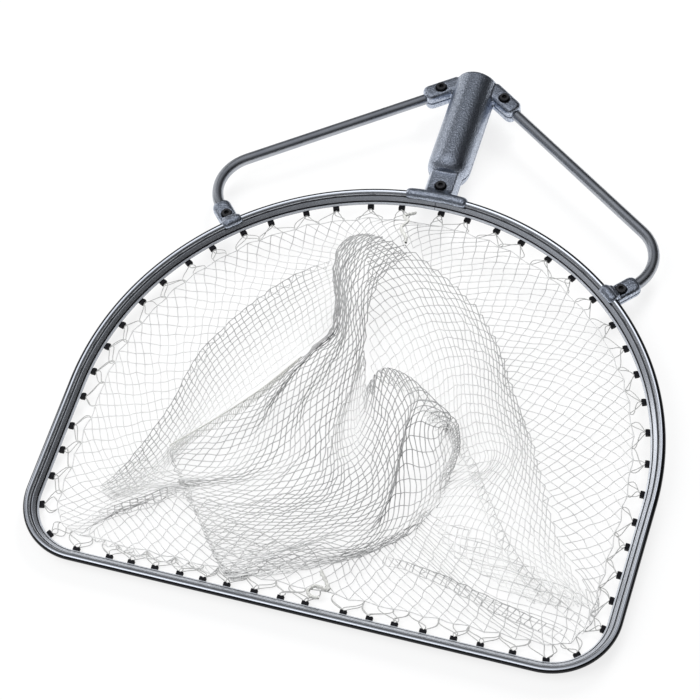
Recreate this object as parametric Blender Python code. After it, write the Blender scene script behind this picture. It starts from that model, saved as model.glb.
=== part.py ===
"""Head of a pond net: a D-shaped hoop of aluminium extrusion, a two-part cast bracket with a handle
socket, two brace rods with hoop clamps, sliding clips and a collapsed net bag. Metres, +Z up.

Most pieces are placed in the hoop's own frame: the bead's centreline lies in z = 0, the straight front
runs along x at y = 0, and the handle socket points to +y. An empty carries that frame and leans it back,
so that the head lies on a floor at z = 0 on its front clips and its socket.
"""

import math

import bmesh
import bpy
import numpy as np
from mathutils import Matrix, Vector

# Hoop centreline, along the middle of the bead
BACK_RADIUS = 0.2925
HOOP_DEPTH = 0.4871
CORNER_RADIUS = 0.063
SIDE_TAPER = math.radians(1.7)
BUTT_GAP = 0.0006

# Hoop section: a round bead outside and a flange that slopes inward and down to the clip track
BEAD_RADIUS = 0.0034
FLANGE_SLOPE = math.radians(42)
FLANGE_REACH = 0.0129
FLANGE_THICKNESS = 0.0046
GROOVE_DEPTH = 0.0009
TRACK_DEPTH = 0.0035
TRACK_HEIGHT = 0.003
SLOT_HEIGHT = 0.0018
LIP_DEPTH = 0.0012

# Clips
CLIP_LENGTH = 0.0065
CLIP_BODY_DEPTH = 0.0053
CLIP_BODY_HEIGHT = 0.004

# Where the clips stand at rest: as a share of the straight front's half, from its middle, and as a share of
# the way round each side of the hoop, from the middle of its back
FRONT_CLIP_SHARES = [-0.842, -0.744, -0.638, -0.527, -0.425, -0.319, -0.199, -0.084,
                     0.022, 0.186, 0.297, 0.403, 0.523, 0.651, 0.762, 0.895]
LEFT_CLIP_SHARES = [0.0393, 0.1179, 0.1976, 0.2741, 0.3472, 0.4204, 0.4892, 0.5613, 0.6246, 0.7109]
RIGHT_CLIP_SHARES = [0.0415, 0.1136, 0.1911, 0.2708, 0.3418, 0.4182, 0.4958, 0.5591, 0.6213, 0.7043]

# Bracket
PARTING_DROP = 0.009
SOCKET_RADIUS = 0.023
SOCKET_BORE_RADIUS = 0.019
SOCKET_BORE_DEPTH = 0.104
SOCKET_LENGTH = 0.116
SHOULDER_LENGTH = 0.015
SHOULDER_NOSE_RADIUS = 0.014
TONGUE_LENGTH = 0.048
TONGUE_TOP_WIDTH = 0.027
TONGUE_WIDTH = 0.036
BRACKET_HALF_HEIGHT = 0.011
TONGUE_SCREW_REACH = 0.0146
SADDLE_HALF_LENGTH = 0.033
SADDLE_RADIUS = 0.0065

# Brace rods, their ears on the bracket and their clamps on the hoop
ROD_RADIUS = 0.005
ROD_SLOPE = math.radians(36.5)
ROD_BEND_RADIUS = 0.045
ROD_GRIP = 0.015
EAR_END_X = 0.0508
EAR_END_BEYOND_HOOP = 0.132
EAR_LENGTH = 0.041
EAR_WIDTH = 0.02
EAR_SCREW_REACH = 0.0197
CLAMP_BEARING = math.radians(43)
CLAMP_EAR_REACH = 0.0355
CLAMP_EAR_WIDTH = 0.02
CLAMP_HALF_HEIGHT = 0.0072
CLAMP_SCREW_REACH = 0.0146
CLAMP_SADDLE_HALF_LENGTH = 0.011
LINK_DEPTH = 0.005
EAR_ROUND = 0.005
JAW_CHAMFER = 0.0055

# M6 cap screws, sunk part of the way into counterbores, and their nuts
SCREW_RADIUS = 0.003
HEAD_RADIUS = 0.005
HEAD_HEIGHT = 0.006
HEAD_SINK = 0.004
COUNTERBORE_RADIUS = 0.0057
SCREW_WALL = 0.001
KEY_ACROSS_FLATS = 0.005
KEY_DEPTH = 0.003
NUT_ACROSS_FLATS = 0.01
NUT_HEIGHT = 0.004

# Net bag, as it lies: the skirt's thickness, how far in it reaches the floor, and the folds' half-width
BAG_THICKNESS = 0.003
BAG_RUN_IN = 0.22
BAG_SIDES = 60
BAG_RINGS = 12
FOLD_HALF_WIDTH = 0.026

CLEARANCE = 0.0003
FLOOR_CLEARANCE = 0.0005
EDGE_ROUND = 0.002

# Fold crests of the bag on the floor: (x, y) from the middle of the head, and the crest's height
SAIL_FOLD = [(-0.058, 0.092, 0.040), (-0.011, 0.088, 0.042), (0.065, 0.040, 0.034), (0.112, -0.011, 0.026),
             (0.144, -0.067, 0.016)]
LOOP_FOLD = [(-0.060, 0.092, 0.040), (-0.073, 0.037, 0.044), (-0.050, -0.010, 0.042),
             (-0.074, -0.070, 0.032), (-0.164, -0.195, 0.018)]
FRONT_FOLD = [(-0.164, -0.195, 0.018), (-0.110, -0.250, 0.016), (-0.050, -0.285, 0.014),
              (0.060, -0.252, 0.016)]
RIGHT_FOLD = [(0.060, -0.252, 0.018), (0.100, -0.183, 0.026), (0.088, -0.110, 0.030),
              (-0.020, -0.060, 0.032)]
CORNER_FOLD = [(0.126, -0.266, 0.010), (0.225, -0.276, 0.008)]
BAG_FOLDS = [SAIL_FOLD, LOOP_FOLD, FRONT_FOLD, RIGHT_FOLD, CORNER_FOLD]

# Worked out from the sizes above
SIDE_HEADING = math.pi / 2 - SIDE_TAPER
SIDE_LENGTH = (
    HOOP_DEPTH
    - CORNER_RADIUS * (1 - math.cos(SIDE_HEADING))
    - BACK_RADIUS * (1 + math.cos(SIDE_HEADING))
) / math.sin(SIDE_HEADING)
FRONT_HALF = (BACK_RADIUS - CORNER_RADIUS) * math.sin(SIDE_HEADING) - SIDE_LENGTH * math.cos(SIDE_HEADING)
CORNER_END = FRONT_HALF + CORNER_RADIUS * SIDE_HEADING
SIDE_END = CORNER_END + SIDE_LENGTH
HALF_LENGTH = SIDE_END + BACK_RADIUS * (math.pi - SIDE_HEADING)
BACK_CENTRE_Y = HOOP_DEPTH - BACK_RADIUS
SOCKET_START = HOOP_DEPTH + TONGUE_LENGTH
SOCKET_MOUTH = SOCKET_START + SOCKET_LENGTH
JAW_REACH = SADDLE_RADIUS - CLEARANCE
JAW_DROP = BEAD_RADIUS - CLEARANCE / 2
JAW_FRONT = -0.95 * SADDLE_RADIUS
BRACKET_TOP = BRACKET_HALF_HEIGHT - PARTING_DROP
CLAMP_TOP = CLAMP_HALF_HEIGHT - PARTING_DROP
SCREW_ROOM = max(COUNTERBORE_RADIUS, NUT_ACROSS_FLATS / math.sqrt(3) + CLEARANCE) + SCREW_WALL
CLAMP_GRIP = CLAMP_EAR_REACH - CLAMP_SCREW_REACH - SCREW_ROOM
FLANGE_IN = Vector((-math.cos(FLANGE_SLOPE), -math.sin(FLANGE_SLOPE)))
FLANGE_UP = Vector((-math.sin(FLANGE_SLOPE), math.cos(FLANGE_SLOPE)))
FLANGE_END = FLANGE_IN * FLANGE_REACH
CLIP_BODY_OUT = FLANGE_END.x - CLEARANCE
CLIP_BODY_IN = CLIP_BODY_OUT - CLIP_BODY_DEPTH
CLIP_BODY_LOW = FLANGE_END.y - 0.6 * CLIP_BODY_HEIGHT
BAG_RIM_OFFSET = CLIP_BODY_IN - CLEARANCE
FRONT_HEIGHT = FLOOR_CLEARANCE - CLIP_BODY_LOW
SOCKET_LOW = PARTING_DROP + SOCKET_RADIUS
SOCKET_START_REACH = math.hypot(SOCKET_START, SOCKET_LOW)
REST_TILT = math.atan2(SOCKET_LOW, SOCKET_START) - math.asin(FRONT_HEIGHT / SOCKET_START_REACH)
FRONT_REACH = -BEAD_RADIUS * math.cos(REST_TILT)
MOUTH_REACH = SOCKET_MOUTH * math.cos(REST_TILT) + SOCKET_LOW * math.sin(REST_TILT)
MIDDLE_Y = (FRONT_REACH + MOUTH_REACH) / 2


def clear_scene():
    for old in list(bpy.data.objects):
        bpy.data.objects.remove(old, do_unlink=True)


def make_material(name, colour, roughness, metallic):
    made = bpy.data.materials.new(name)
    made.use_nodes = True
    shader = made.node_tree.nodes["Principled BSDF"]
    shader.inputs["Base Color"].default_value = (*colour, 1)
    shader.inputs["Roughness"].default_value = roughness
    shader.inputs["Metallic"].default_value = metallic
    return made


def new_object(name, bm, parent=None, material=None):
    bmesh.ops.recalc_face_normals(bm, faces=bm.faces)
    mesh = bpy.data.meshes.new(name)
    bm.to_mesh(mesh)
    bm.free()
    return place_mesh(name, mesh, parent, material)


def place_mesh(name, mesh, parent=None, material=None):
    made = bpy.data.objects.new(name, mesh)
    bpy.context.scene.collection.objects.link(made)
    made.parent = parent
    if material:
        if not mesh.materials:
            mesh.materials.append(material)
        mesh.shade_smooth()
        mesh.set_sharp_from_angle(angle=math.radians(35))
    return made


def new_empty(name, parent, place):
    made = bpy.data.objects.new(name, None)
    bpy.context.scene.collection.objects.link(made)
    made.parent = parent
    made.location = place
    return made


def helper(name, bm, parent=None):
    """A guide or a cutter, which is no piece of the object."""
    made = new_object(name, bm, parent)
    made.hide_render = True
    made.display_type = "WIRE"
    return made


def combine(target, other, operation):
    step = target.modifiers.new(other.name, "BOOLEAN")
    step.operation = operation
    step.object = other
    step.solver = "EXACT"


# Shapes

def sweep(frames, outline):
    """A closed outline of (out, up) points carried along frames of (origin, out, up, scale)."""
    bm = bmesh.new()
    rings = []
    for origin, out, up, scale in frames:
        rings.append([bm.verts.new(origin + out * (o * scale) + up * (z * scale)) for o, z in outline])
    count = len(outline)
    for first, second in zip(rings, rings[1:]):
        for i in range(count):
            j = (i + 1) % count
            bm.faces.new((first[i], first[j], second[j], second[i]))
    bm.faces.new(rings[0])
    bm.faces.new(rings[-1])
    return bm


def circle(radius, sides, start=0.0):
    turns = [start + 2 * math.pi * i / sides for i in range(sides)]
    return [(radius * math.cos(turn), radius * math.sin(turn)) for turn in turns]


def hexagon(across_flats):
    return circle(across_flats / math.sqrt(3), 6)


def column(outline, x, y, low, high):
    """An outline in x and y, upright between two heights."""
    frames = [(Vector((x, y, z)), Vector((1, 0, 0)), Vector((0, 1, 0)), 1) for z in (low, high)]
    return sweep(frames, outline)


def prism_along_x(outline, half_length):
    """An outline in y and z, carried along x."""
    out, up = Vector((0, 1, 0)), Vector((0, 0, 1))
    frames = [(Vector((x, 0, 0)), out, up, 1) for x in (-half_length, half_length)]
    return sweep(frames, outline)


def turned(profile, sides, axis_z):
    """(y, radius) points turned about a line along y at the given height."""
    frames = [
        (Vector((0, y, axis_z)), Vector((1, 0, 0)), Vector((0, 0, 1)), radius) for y, radius in profile
    ]
    return sweep(frames, circle(1, sides))


def bar_between(start, end, radius, sides):
    along = (end - start).normalized()
    up = Vector((0, 0, 1))
    out = along.cross(up)
    frames = [(point, out, up, 1) for point in (start, end)]
    return sweep(frames, circle(radius, sides))


def rounded_block(length, width, low, high, end_round, edge_round):
    """A block along +x from x = 0, with its far corners and its long edges rounded."""
    bm = bmesh.new()
    bmesh.ops.create_cube(bm, size=1)
    bmesh.ops.scale(bm, vec=(length, width, high - low), verts=bm.verts)
    bmesh.ops.translate(bm, vec=(length / 2, 0, (low + high) / 2), verts=bm.verts)
    corners = [e for e in bm.edges if all(v.co.x > length / 2 for v in e.verts) and is_upright(e)]
    bmesh.ops.bevel(bm, geom=corners, offset=end_round, segments=4, affect="EDGES", profile=0.5)
    rims = [e for e in bm.edges if not is_upright(e) and not all(v.co.x < length / 4 for v in e.verts)]
    rims = [e for e in rims if on_one_level(e) and len(e.link_faces) == 2 and e.calc_face_angle() > 1]
    bmesh.ops.bevel(bm, geom=rims, offset=edge_round, segments=3, affect="EDGES", profile=0.5)
    return bm


def is_upright(edge):
    ends = [v.co for v in edge.verts]
    return abs(ends[0].z - ends[1].z) > 0.9 * (ends[0] - ends[1]).length


def on_one_level(edge):
    return abs(edge.verts[0].co.z - edge.verts[1].co.z) < 1e-6


# Hoop path

def on_hoop(s):
    """(point, heading) at a distance s along the centreline from the middle of the front, to the right if
    s is positive. The heading is the direction of travel to the right, and its mirror on the left."""
    side = 1 if s >= 0 else -1
    s = abs(s)
    if s <= FRONT_HALF:
        x, y, heading = s, 0.0, 0.0
    elif s <= CORNER_END:
        heading = (s - FRONT_HALF) / CORNER_RADIUS
        x = FRONT_HALF + CORNER_RADIUS * math.sin(heading)
        y = CORNER_RADIUS * (1 - math.cos(heading))
    elif s <= SIDE_END:
        heading = SIDE_HEADING
        run = s - CORNER_END
        x = FRONT_HALF + CORNER_RADIUS * math.sin(heading) + run * math.cos(heading)
        y = CORNER_RADIUS * (1 - math.cos(heading)) + run * math.sin(heading)
    else:
        heading = SIDE_HEADING + (s - SIDE_END) / BACK_RADIUS
        x = BACK_RADIUS * math.sin(heading)
        y = BACK_CENTRE_Y - BACK_RADIUS * math.cos(heading)
    return Vector((side * x, y, 0)), side * heading


def hoop_frame(s):
    point, heading = on_hoop(s)
    return point, Vector((math.sin(heading), -math.cos(heading), 0)), Vector((0, 0, 1)), 1


def hoop_stations(corner_steps=9, back_steps=26):
    """Distances along the right half where the bar needs a section."""
    corner = np.linspace(FRONT_HALF, CORNER_END, corner_steps + 1)
    back = np.linspace(SIDE_END, HALF_LENGTH - BUTT_GAP / 2, back_steps + 1)
    return [*corner, *back]


def back_frame(bearing, scale=1.0):
    """A frame on the back of the hoop, at a bearing from +y towards +x about the back arc's centre."""
    out = Vector((math.sin(bearing), math.cos(bearing), 0))
    return Vector((0, BACK_CENTRE_Y, 0)) + out * BACK_RADIUS, out, Vector((0, 0, 1)), scale


def back_sweep(outline, bearing, half_length, steps, rounded_ends=False):
    """An outline swept along the back of the hoop, half_length to each side of a bearing."""
    frames = []
    for share in np.linspace(-1, 1, steps + 1):
        scale = 1.0
        if rounded_ends:
            reach = (1 - abs(share)) * half_length / SADDLE_RADIUS
            scale = 0.6 + 0.4 * math.sqrt(1 - (1 - min(1.0, reach)) ** 2)
        frames.append(back_frame(bearing + share * half_length / BACK_RADIUS, scale))
    return sweep(frames, outline)


def flange_point(along, above):
    point = FLANGE_IN * along + FLANGE_UP * above
    return point.x, point.y


def bead_arc(radius, edge, sides):
    """Bead points from below the flange round the outside to above it; edge is the flange's half-width."""
    meet = math.asin(edge / radius)
    inward = math.pi + FLANGE_SLOPE
    turns = np.linspace(inward + meet, inward + 2 * math.pi - meet, sides + 1)
    return [(radius * math.cos(turn), radius * math.sin(turn)) for turn in turns]


def hoop_outline():
    half = FLANGE_THICKNESS / 2
    neck = half - GROOVE_DEPTH
    shelf = BEAD_RADIUS + GROOVE_DEPTH
    lip = FLANGE_REACH - LIP_DEPTH
    back = lip - TRACK_DEPTH
    chamfer = LIP_DEPTH / 2
    upper = [
        flange_point(shelf, half),
        flange_point(FLANGE_REACH - chamfer, half),
        flange_point(FLANGE_REACH, half - chamfer),
        flange_point(FLANGE_REACH, SLOT_HEIGHT / 2),
        flange_point(lip, SLOT_HEIGHT / 2),
        flange_point(lip, TRACK_HEIGHT / 2),
        flange_point(back, TRACK_HEIGHT / 2),
    ]
    lower = [
        flange_point(back, -TRACK_HEIGHT / 2),
        flange_point(lip, -TRACK_HEIGHT / 2),
        flange_point(lip, -SLOT_HEIGHT / 2),
        flange_point(FLANGE_REACH, -SLOT_HEIGHT / 2),
        flange_point(FLANGE_REACH, chamfer - half),
        flange_point(FLANGE_REACH - chamfer, -half),
        flange_point(shelf, -half),
    ]
    return bead_arc(BEAD_RADIUS, neck, 12) + upper + lower


def hoop_room_outline():
    """The hoop's section with its clearance, which the castings are cut by."""
    half = FLANGE_THICKNESS / 2 + CLEARANCE
    reach = 2 * FLANGE_REACH
    bead = bead_arc(BEAD_RADIUS + CLEARANCE, half, 16)
    return bead + [flange_point(reach, half), flange_point(reach, -half)]


def clip_outline():
    """Shoe in the track, neck in the slot and a level body inside the hoop, as (out, up)."""
    lip = FLANGE_REACH - LIP_DEPTH
    shoe_half = TRACK_HEIGHT / 2 - CLEARANCE
    neck_half = SLOT_HEIGHT / 2 - CLEARANCE
    shoe_back = lip - TRACK_DEPTH + CLEARANCE
    body_high = CLIP_BODY_LOW + CLIP_BODY_HEIGHT
    return [
        flange_point(lip - CLEARANCE, neck_half),
        flange_point(lip - CLEARANCE, shoe_half),
        flange_point(shoe_back, shoe_half),
        flange_point(shoe_back, -shoe_half),
        flange_point(lip - CLEARANCE, -shoe_half),
        flange_point(lip - CLEARANCE, -neck_half),
        flange_point(FLANGE_REACH + CLEARANCE, -neck_half),
        (CLIP_BODY_OUT - FLANGE_THICKNESS / 4, CLIP_BODY_LOW),
        (CLIP_BODY_IN, CLIP_BODY_LOW),
        (CLIP_BODY_IN, body_high),
        (CLIP_BODY_OUT - FLANGE_THICKNESS / 2, body_high),
        flange_point(FLANGE_REACH + CLEARANCE, neck_half),
    ]


# Pieces

def make_hoop(parent, material):
    right = hoop_stations()
    stations = [-s for s in reversed(right)] + right
    return new_object("hoop", sweep([hoop_frame(s) for s in stations], hoop_outline()), parent, material)


def make_clips(parent, material):
    out, up = Vector((0, -1, 0)), Vector((0, 0, 1))
    frames = [(Vector((x, 0, 0)), out, up, 1) for x in (-CLIP_LENGTH / 2, CLIP_LENGTH / 2)]
    bm = sweep(frames, clip_outline())
    bmesh.ops.recalc_face_normals(bm, faces=bm.faces)
    mesh = bpy.data.meshes.new("clip")
    bm.to_mesh(mesh)
    bm.free()
    pivots = {
        "back": new_empty("back_centre", parent, (0, BACK_CENTRE_Y, 0)),
        "left": new_empty("left_corner_centre", parent, (-FRONT_HALF, CORNER_RADIUS, 0)),
        "right": new_empty("right_corner_centre", parent, (FRONT_HALF, CORNER_RADIUS, 0)),
    }
    front = [share * FRONT_HALF for share in FRONT_CLIP_SHARES]
    left = [(share - 1) * HALF_LENGTH for share in LEFT_CLIP_SHARES]
    right = [(1 - share) * HALF_LENGTH for share in RIGHT_CLIP_SHARES]
    for kind, places in (("front", front), ("left", left), ("right", right)):
        for number, s in enumerate(places, 1):
            point, heading = on_hoop(s)
            # On a bend the clip slides round the bend's centre, so it hangs on an empty there
            carrier = parent
            if abs(s) > SIDE_END:
                carrier = pivots["back"]
            elif FRONT_HALF < abs(s) < CORNER_END:
                carrier = pivots["left" if s < 0 else "right"]
            clip = place_mesh(f"{kind}_clip_{number:02d}", mesh, carrier, material)
            clip.location = point if carrier is parent else point - carrier.location
            clip.rotation_euler.z = heading


def ear_frame(side):
    """Where a brace rod leaves the bracket, and its direction towards the hoop."""
    end = Vector((side * EAR_END_X, HOOP_DEPTH + EAR_END_BEYOND_HOOP, -PARTING_DROP))
    return end, Vector((side * math.cos(ROD_SLOPE), -math.sin(ROD_SLOPE), 0))


def clamp_bearing(side):
    return side * CLAMP_BEARING


def on_clamp(side, reach, z=-PARTING_DROP):
    """A point on a clamp's centreline, reach outside the bead's middle."""
    origin, out, up, _ = back_frame(clamp_bearing(side))
    return origin + out * reach + up * z


def rod_path(side, bend_steps=14):
    """Points and directions along a rod, from its ear through the bend to its clamp."""
    end, along = ear_frame(side)
    out = back_frame(clamp_bearing(side))[1]
    start = end - along * ROD_GRIP
    finish = on_clamp(side, CLAMP_EAR_REACH - CLAMP_GRIP)
    turn = along.angle(-out)
    # Where the two straight runs would meet
    across = along.cross(-out).z
    gap = finish - start
    meet = start + along * (gap.cross(-out).z / across)
    tangent = ROD_BEND_RADIUS * math.tan(turn / 2)
    centre = meet - along * tangent + turned_inwards(along, side) * ROD_BEND_RADIUS
    path = [(start, along)]
    for step in range(bend_steps + 1):
        spin = Matrix.Rotation(-side * turn * step / bend_steps, 3, "Z")
        path.append((centre - spin @ turned_inwards(along, side) * ROD_BEND_RADIUS, spin @ along))
    path.append((finish, -out))
    return path


def turned_inwards(along, side):
    return Vector((along.y * side, -along.x * side, 0))


def make_rod(name, side, parent, material):
    up = Vector((0, 0, 1))
    frames = [(point, along.cross(up), up, 1) for point, along in rod_path(side)]
    return new_object(name, sweep(frames, circle(ROD_RADIUS, 12)), parent, material)


def make_screw(name, place, seat, tip, parent, material):
    """A cap screw whose head sits on a seat height, down to a tip height."""
    low = seat + CLEARANCE
    head = column(circle(HEAD_RADIUS, 20), place.x, place.y, low, low + HEAD_HEIGHT)
    body = new_object(name, head, parent, material)
    shank_top = low + HEAD_HEIGHT / 3
    shank = helper(
        name + "_shank", column(circle(SCREW_RADIUS, 14), place.x, place.y, tip, shank_top), parent
    )
    key_low = low + HEAD_HEIGHT - KEY_DEPTH
    key = helper(
        name + "_key",
        column(hexagon(KEY_ACROSS_FLATS), place.x, place.y, key_low, low + HEAD_HEIGHT + KEY_DEPTH),
        parent,
    )
    combine(body, shank, "UNION")
    combine(body, key, "DIFFERENCE")
    return body


def make_nut(name, place, low, parent, material):
    body = new_object(
        name, column(hexagon(NUT_ACROSS_FLATS), place.x, place.y, low, low + NUT_HEIGHT), parent, material
    )
    hole = circle(SCREW_RADIUS + CLEARANCE, 14)
    bore = helper(
        name + "_bore", column(hole, place.x, place.y, low - NUT_HEIGHT, low + 2 * NUT_HEIGHT), parent
    )
    combine(body, bore, "DIFFERENCE")
    return body


def cut_screw_way(body, name, place, low, high, parent):
    """A through hole, a counterbore for the head, open above, and a nut pocket, open below."""
    reach = high - low
    hole = helper(
        name + "_hole",
        column(circle(SCREW_RADIUS + CLEARANCE, 14), place.x, place.y, low - reach, high + reach),
        parent,
    )
    pocket = helper(
        name + "_pocket",
        column(
            hexagon(NUT_ACROSS_FLATS + 2 * CLEARANCE),
            place.x,
            place.y,
            low - NUT_HEIGHT,
            low + NUT_HEIGHT + CLEARANCE,
        ),
        parent,
    )
    counterbore = helper(
        name + "_counterbore",
        column(circle(COUNTERBORE_RADIUS, 24), place.x, place.y, high - HEAD_SINK, high + HEAD_HEIGHT),
        parent,
    )
    for cutter in (hole, pocket, counterbore):
        combine(body, cutter, "DIFFERENCE")


def saddle_outline():
    """Half-round over the bead, as (out, up)."""
    arch = [(SADDLE_RADIUS * math.cos(t), SADDLE_RADIUS * math.sin(t)) for t in np.linspace(0, math.pi, 13)]
    return arch


def saddle_link(bead_y, width, low):
    """What joins a saddle's outer edge to the ear or tongue behind it, at the back of the hoop."""
    bm = rounded_block(LINK_DEPTH, width, low, SADDLE_RADIUS / 2, EDGE_ROUND, EDGE_ROUND)
    shift = Matrix.Translation((0, bead_y + SADDLE_RADIUS - LINK_DEPTH / 2, 0))
    bmesh.ops.transform(bm, matrix=shift @ Matrix.Rotation(math.pi / 2, 4, "Z"), verts=bm.verts)
    return bm


def split_outlines(bead_y, half_height, near, far):
    """Outlines in (y, z) of the upper and lower halves' room, with the bead at bead_y. The parting steps up
    at the bead's outer edge: the upper half reaches over the bead and the lower half's jaw lies under it,
    with its low inner edge cut away."""
    gap = CLEARANCE / 2
    parting, low = -PARTING_DROP, -PARTING_DROP - half_height
    step, jaw = bead_y + JAW_REACH, bead_y + JAW_FRONT - gap
    upper = [
        (step + gap, parting + gap),
        (far, parting + gap),
        (far, far),
        (near, far),
        (near, gap),
        (step + gap, gap),
    ]
    lower = [
        (jaw, -JAW_DROP),
        (step - gap, -JAW_DROP),
        (step - gap, parting - gap),
        (far, parting - gap),
        (far, -far),
        (jaw + JAW_CHAMFER, -far),
        (jaw + JAW_CHAMFER, low - gap),
        (jaw, low - gap + JAW_CHAMFER),
    ]
    return upper, lower


def ear_block(side):
    end, along = ear_frame(side)
    half = BRACKET_HALF_HEIGHT
    bm = rounded_block(EAR_LENGTH, EAR_WIDTH, -half, half, EAR_ROUND + EDGE_ROUND, EAR_ROUND)
    turn = Matrix.Rotation(math.atan2(along.y, along.x), 4, "Z")
    bmesh.ops.transform(bm, matrix=Matrix.Translation(end - along * EAR_LENGTH) @ turn, verts=bm.verts)
    return bm


def bracket_screws():
    """(name, place) of each of the bracket's screws."""
    places = [("tongue", Vector((0, HOOP_DEPTH + TONGUE_SCREW_REACH, 0)))]
    for name, side in (("left_ear", -1), ("right_ear", 1)):
        end, along = ear_frame(side)
        places.append((name, end - along * EAR_SCREW_REACH))
    return places


def make_bracket(parent, casting, steel):
    nose = SOCKET_START - SHOULDER_LENGTH
    shoulder = [
        (
            SOCKET_START - SHOULDER_LENGTH * math.cos(t),
            SHOULDER_NOSE_RADIUS + (SOCKET_RADIUS - SHOULDER_NOSE_RADIUS) * math.sin(t),
        )
        for t in np.linspace(0, math.pi / 2, 6)
    ]
    rim = SOCKET_RADIUS - SOCKET_BORE_RADIUS
    profile = shoulder + [
        (SOCKET_MOUTH - rim / 3, SOCKET_RADIUS),
        (SOCKET_MOUTH, SOCKET_RADIUS - rim / 4),
    ]
    body = helper("bracket_body", turned(profile, 40, -PARTING_DROP), parent)

    half, top = TONGUE_WIDTH / 2, TONGUE_TOP_WIDTH / 2
    section = [(half, 0), (top, BRACKET_HALF_HEIGHT), (-top, BRACKET_HALF_HEIGHT), (-half, 0)]
    section += [(-top, -BRACKET_HALF_HEIGHT), (top, -BRACKET_HALF_HEIGHT)]
    frames = [
        (Vector((0, y, -PARTING_DROP)), Vector((1, 0, 0)), Vector((0, 0, 1)), 1)
        for y in (HOOP_DEPTH + JAW_FRONT, nose + SHOULDER_LENGTH / 2)
    ]
    combine(body, helper("tongue", sweep(frames, section), parent), "UNION")
    saddle = back_sweep(saddle_outline(), 0, SADDLE_HALF_LENGTH, 24, rounded_ends=True)
    combine(body, helper("saddle", saddle, parent), "UNION")
    low = -PARTING_DROP - BRACKET_HALF_HEIGHT
    link = saddle_link(HOOP_DEPTH, TONGUE_TOP_WIDTH, low / 2)
    combine(body, helper("tongue_link", link, parent), "UNION")
    for name, side in (("left", -1), ("right", 1)):
        combine(body, helper(name + "_ear", ear_block(side), parent), "UNION")

    bore_start = Vector((0, SOCKET_MOUTH - SOCKET_BORE_DEPTH, -PARTING_DROP))
    bore_end = Vector((0, SOCKET_MOUTH + SOCKET_RADIUS, -PARTING_DROP))
    bore = bar_between(bore_start, bore_end, SOCKET_BORE_RADIUS, 40)
    combine(body, helper("handle_bore", bore, parent), "DIFFERENCE")
    room = back_sweep(hoop_room_outline(), 0, SADDLE_HALF_LENGTH + SADDLE_RADIUS, 24)
    combine(body, helper("bracket_hoop_room", room, parent), "DIFFERENCE")
    for name, side in (("left", -1), ("right", 1)):
        end, along = ear_frame(side)
        rod_room = bar_between(
            end - along * (ROD_GRIP + CLEARANCE), end + along * EAR_LENGTH, ROD_RADIUS + CLEARANCE, 16
        )
        combine(body, helper(name + "_ear_bore", rod_room, parent), "DIFFERENCE")
    for name, place in bracket_screws():
        cut_screw_way(body, name, place, low, BRACKET_TOP, parent)

    reach = SOCKET_MOUTH + SOCKET_RADIUS
    upper, lower = split_outlines(HOOP_DEPTH, BRACKET_HALF_HEIGHT, BACK_CENTRE_Y, reach)
    for name, outline in (("bracket_upper", upper), ("bracket_lower", lower)):
        made = new_object(name, prism_along_x(outline, BACK_RADIUS), parent, casting)
        combine(made, body, "INTERSECT")
    for name, place in bracket_screws():
        make_screw(name + "_screw", place, BRACKET_TOP - HEAD_SINK, low + CLEARANCE, parent, steel)
        make_nut(name + "_nut", place, low, parent, steel)


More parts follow.
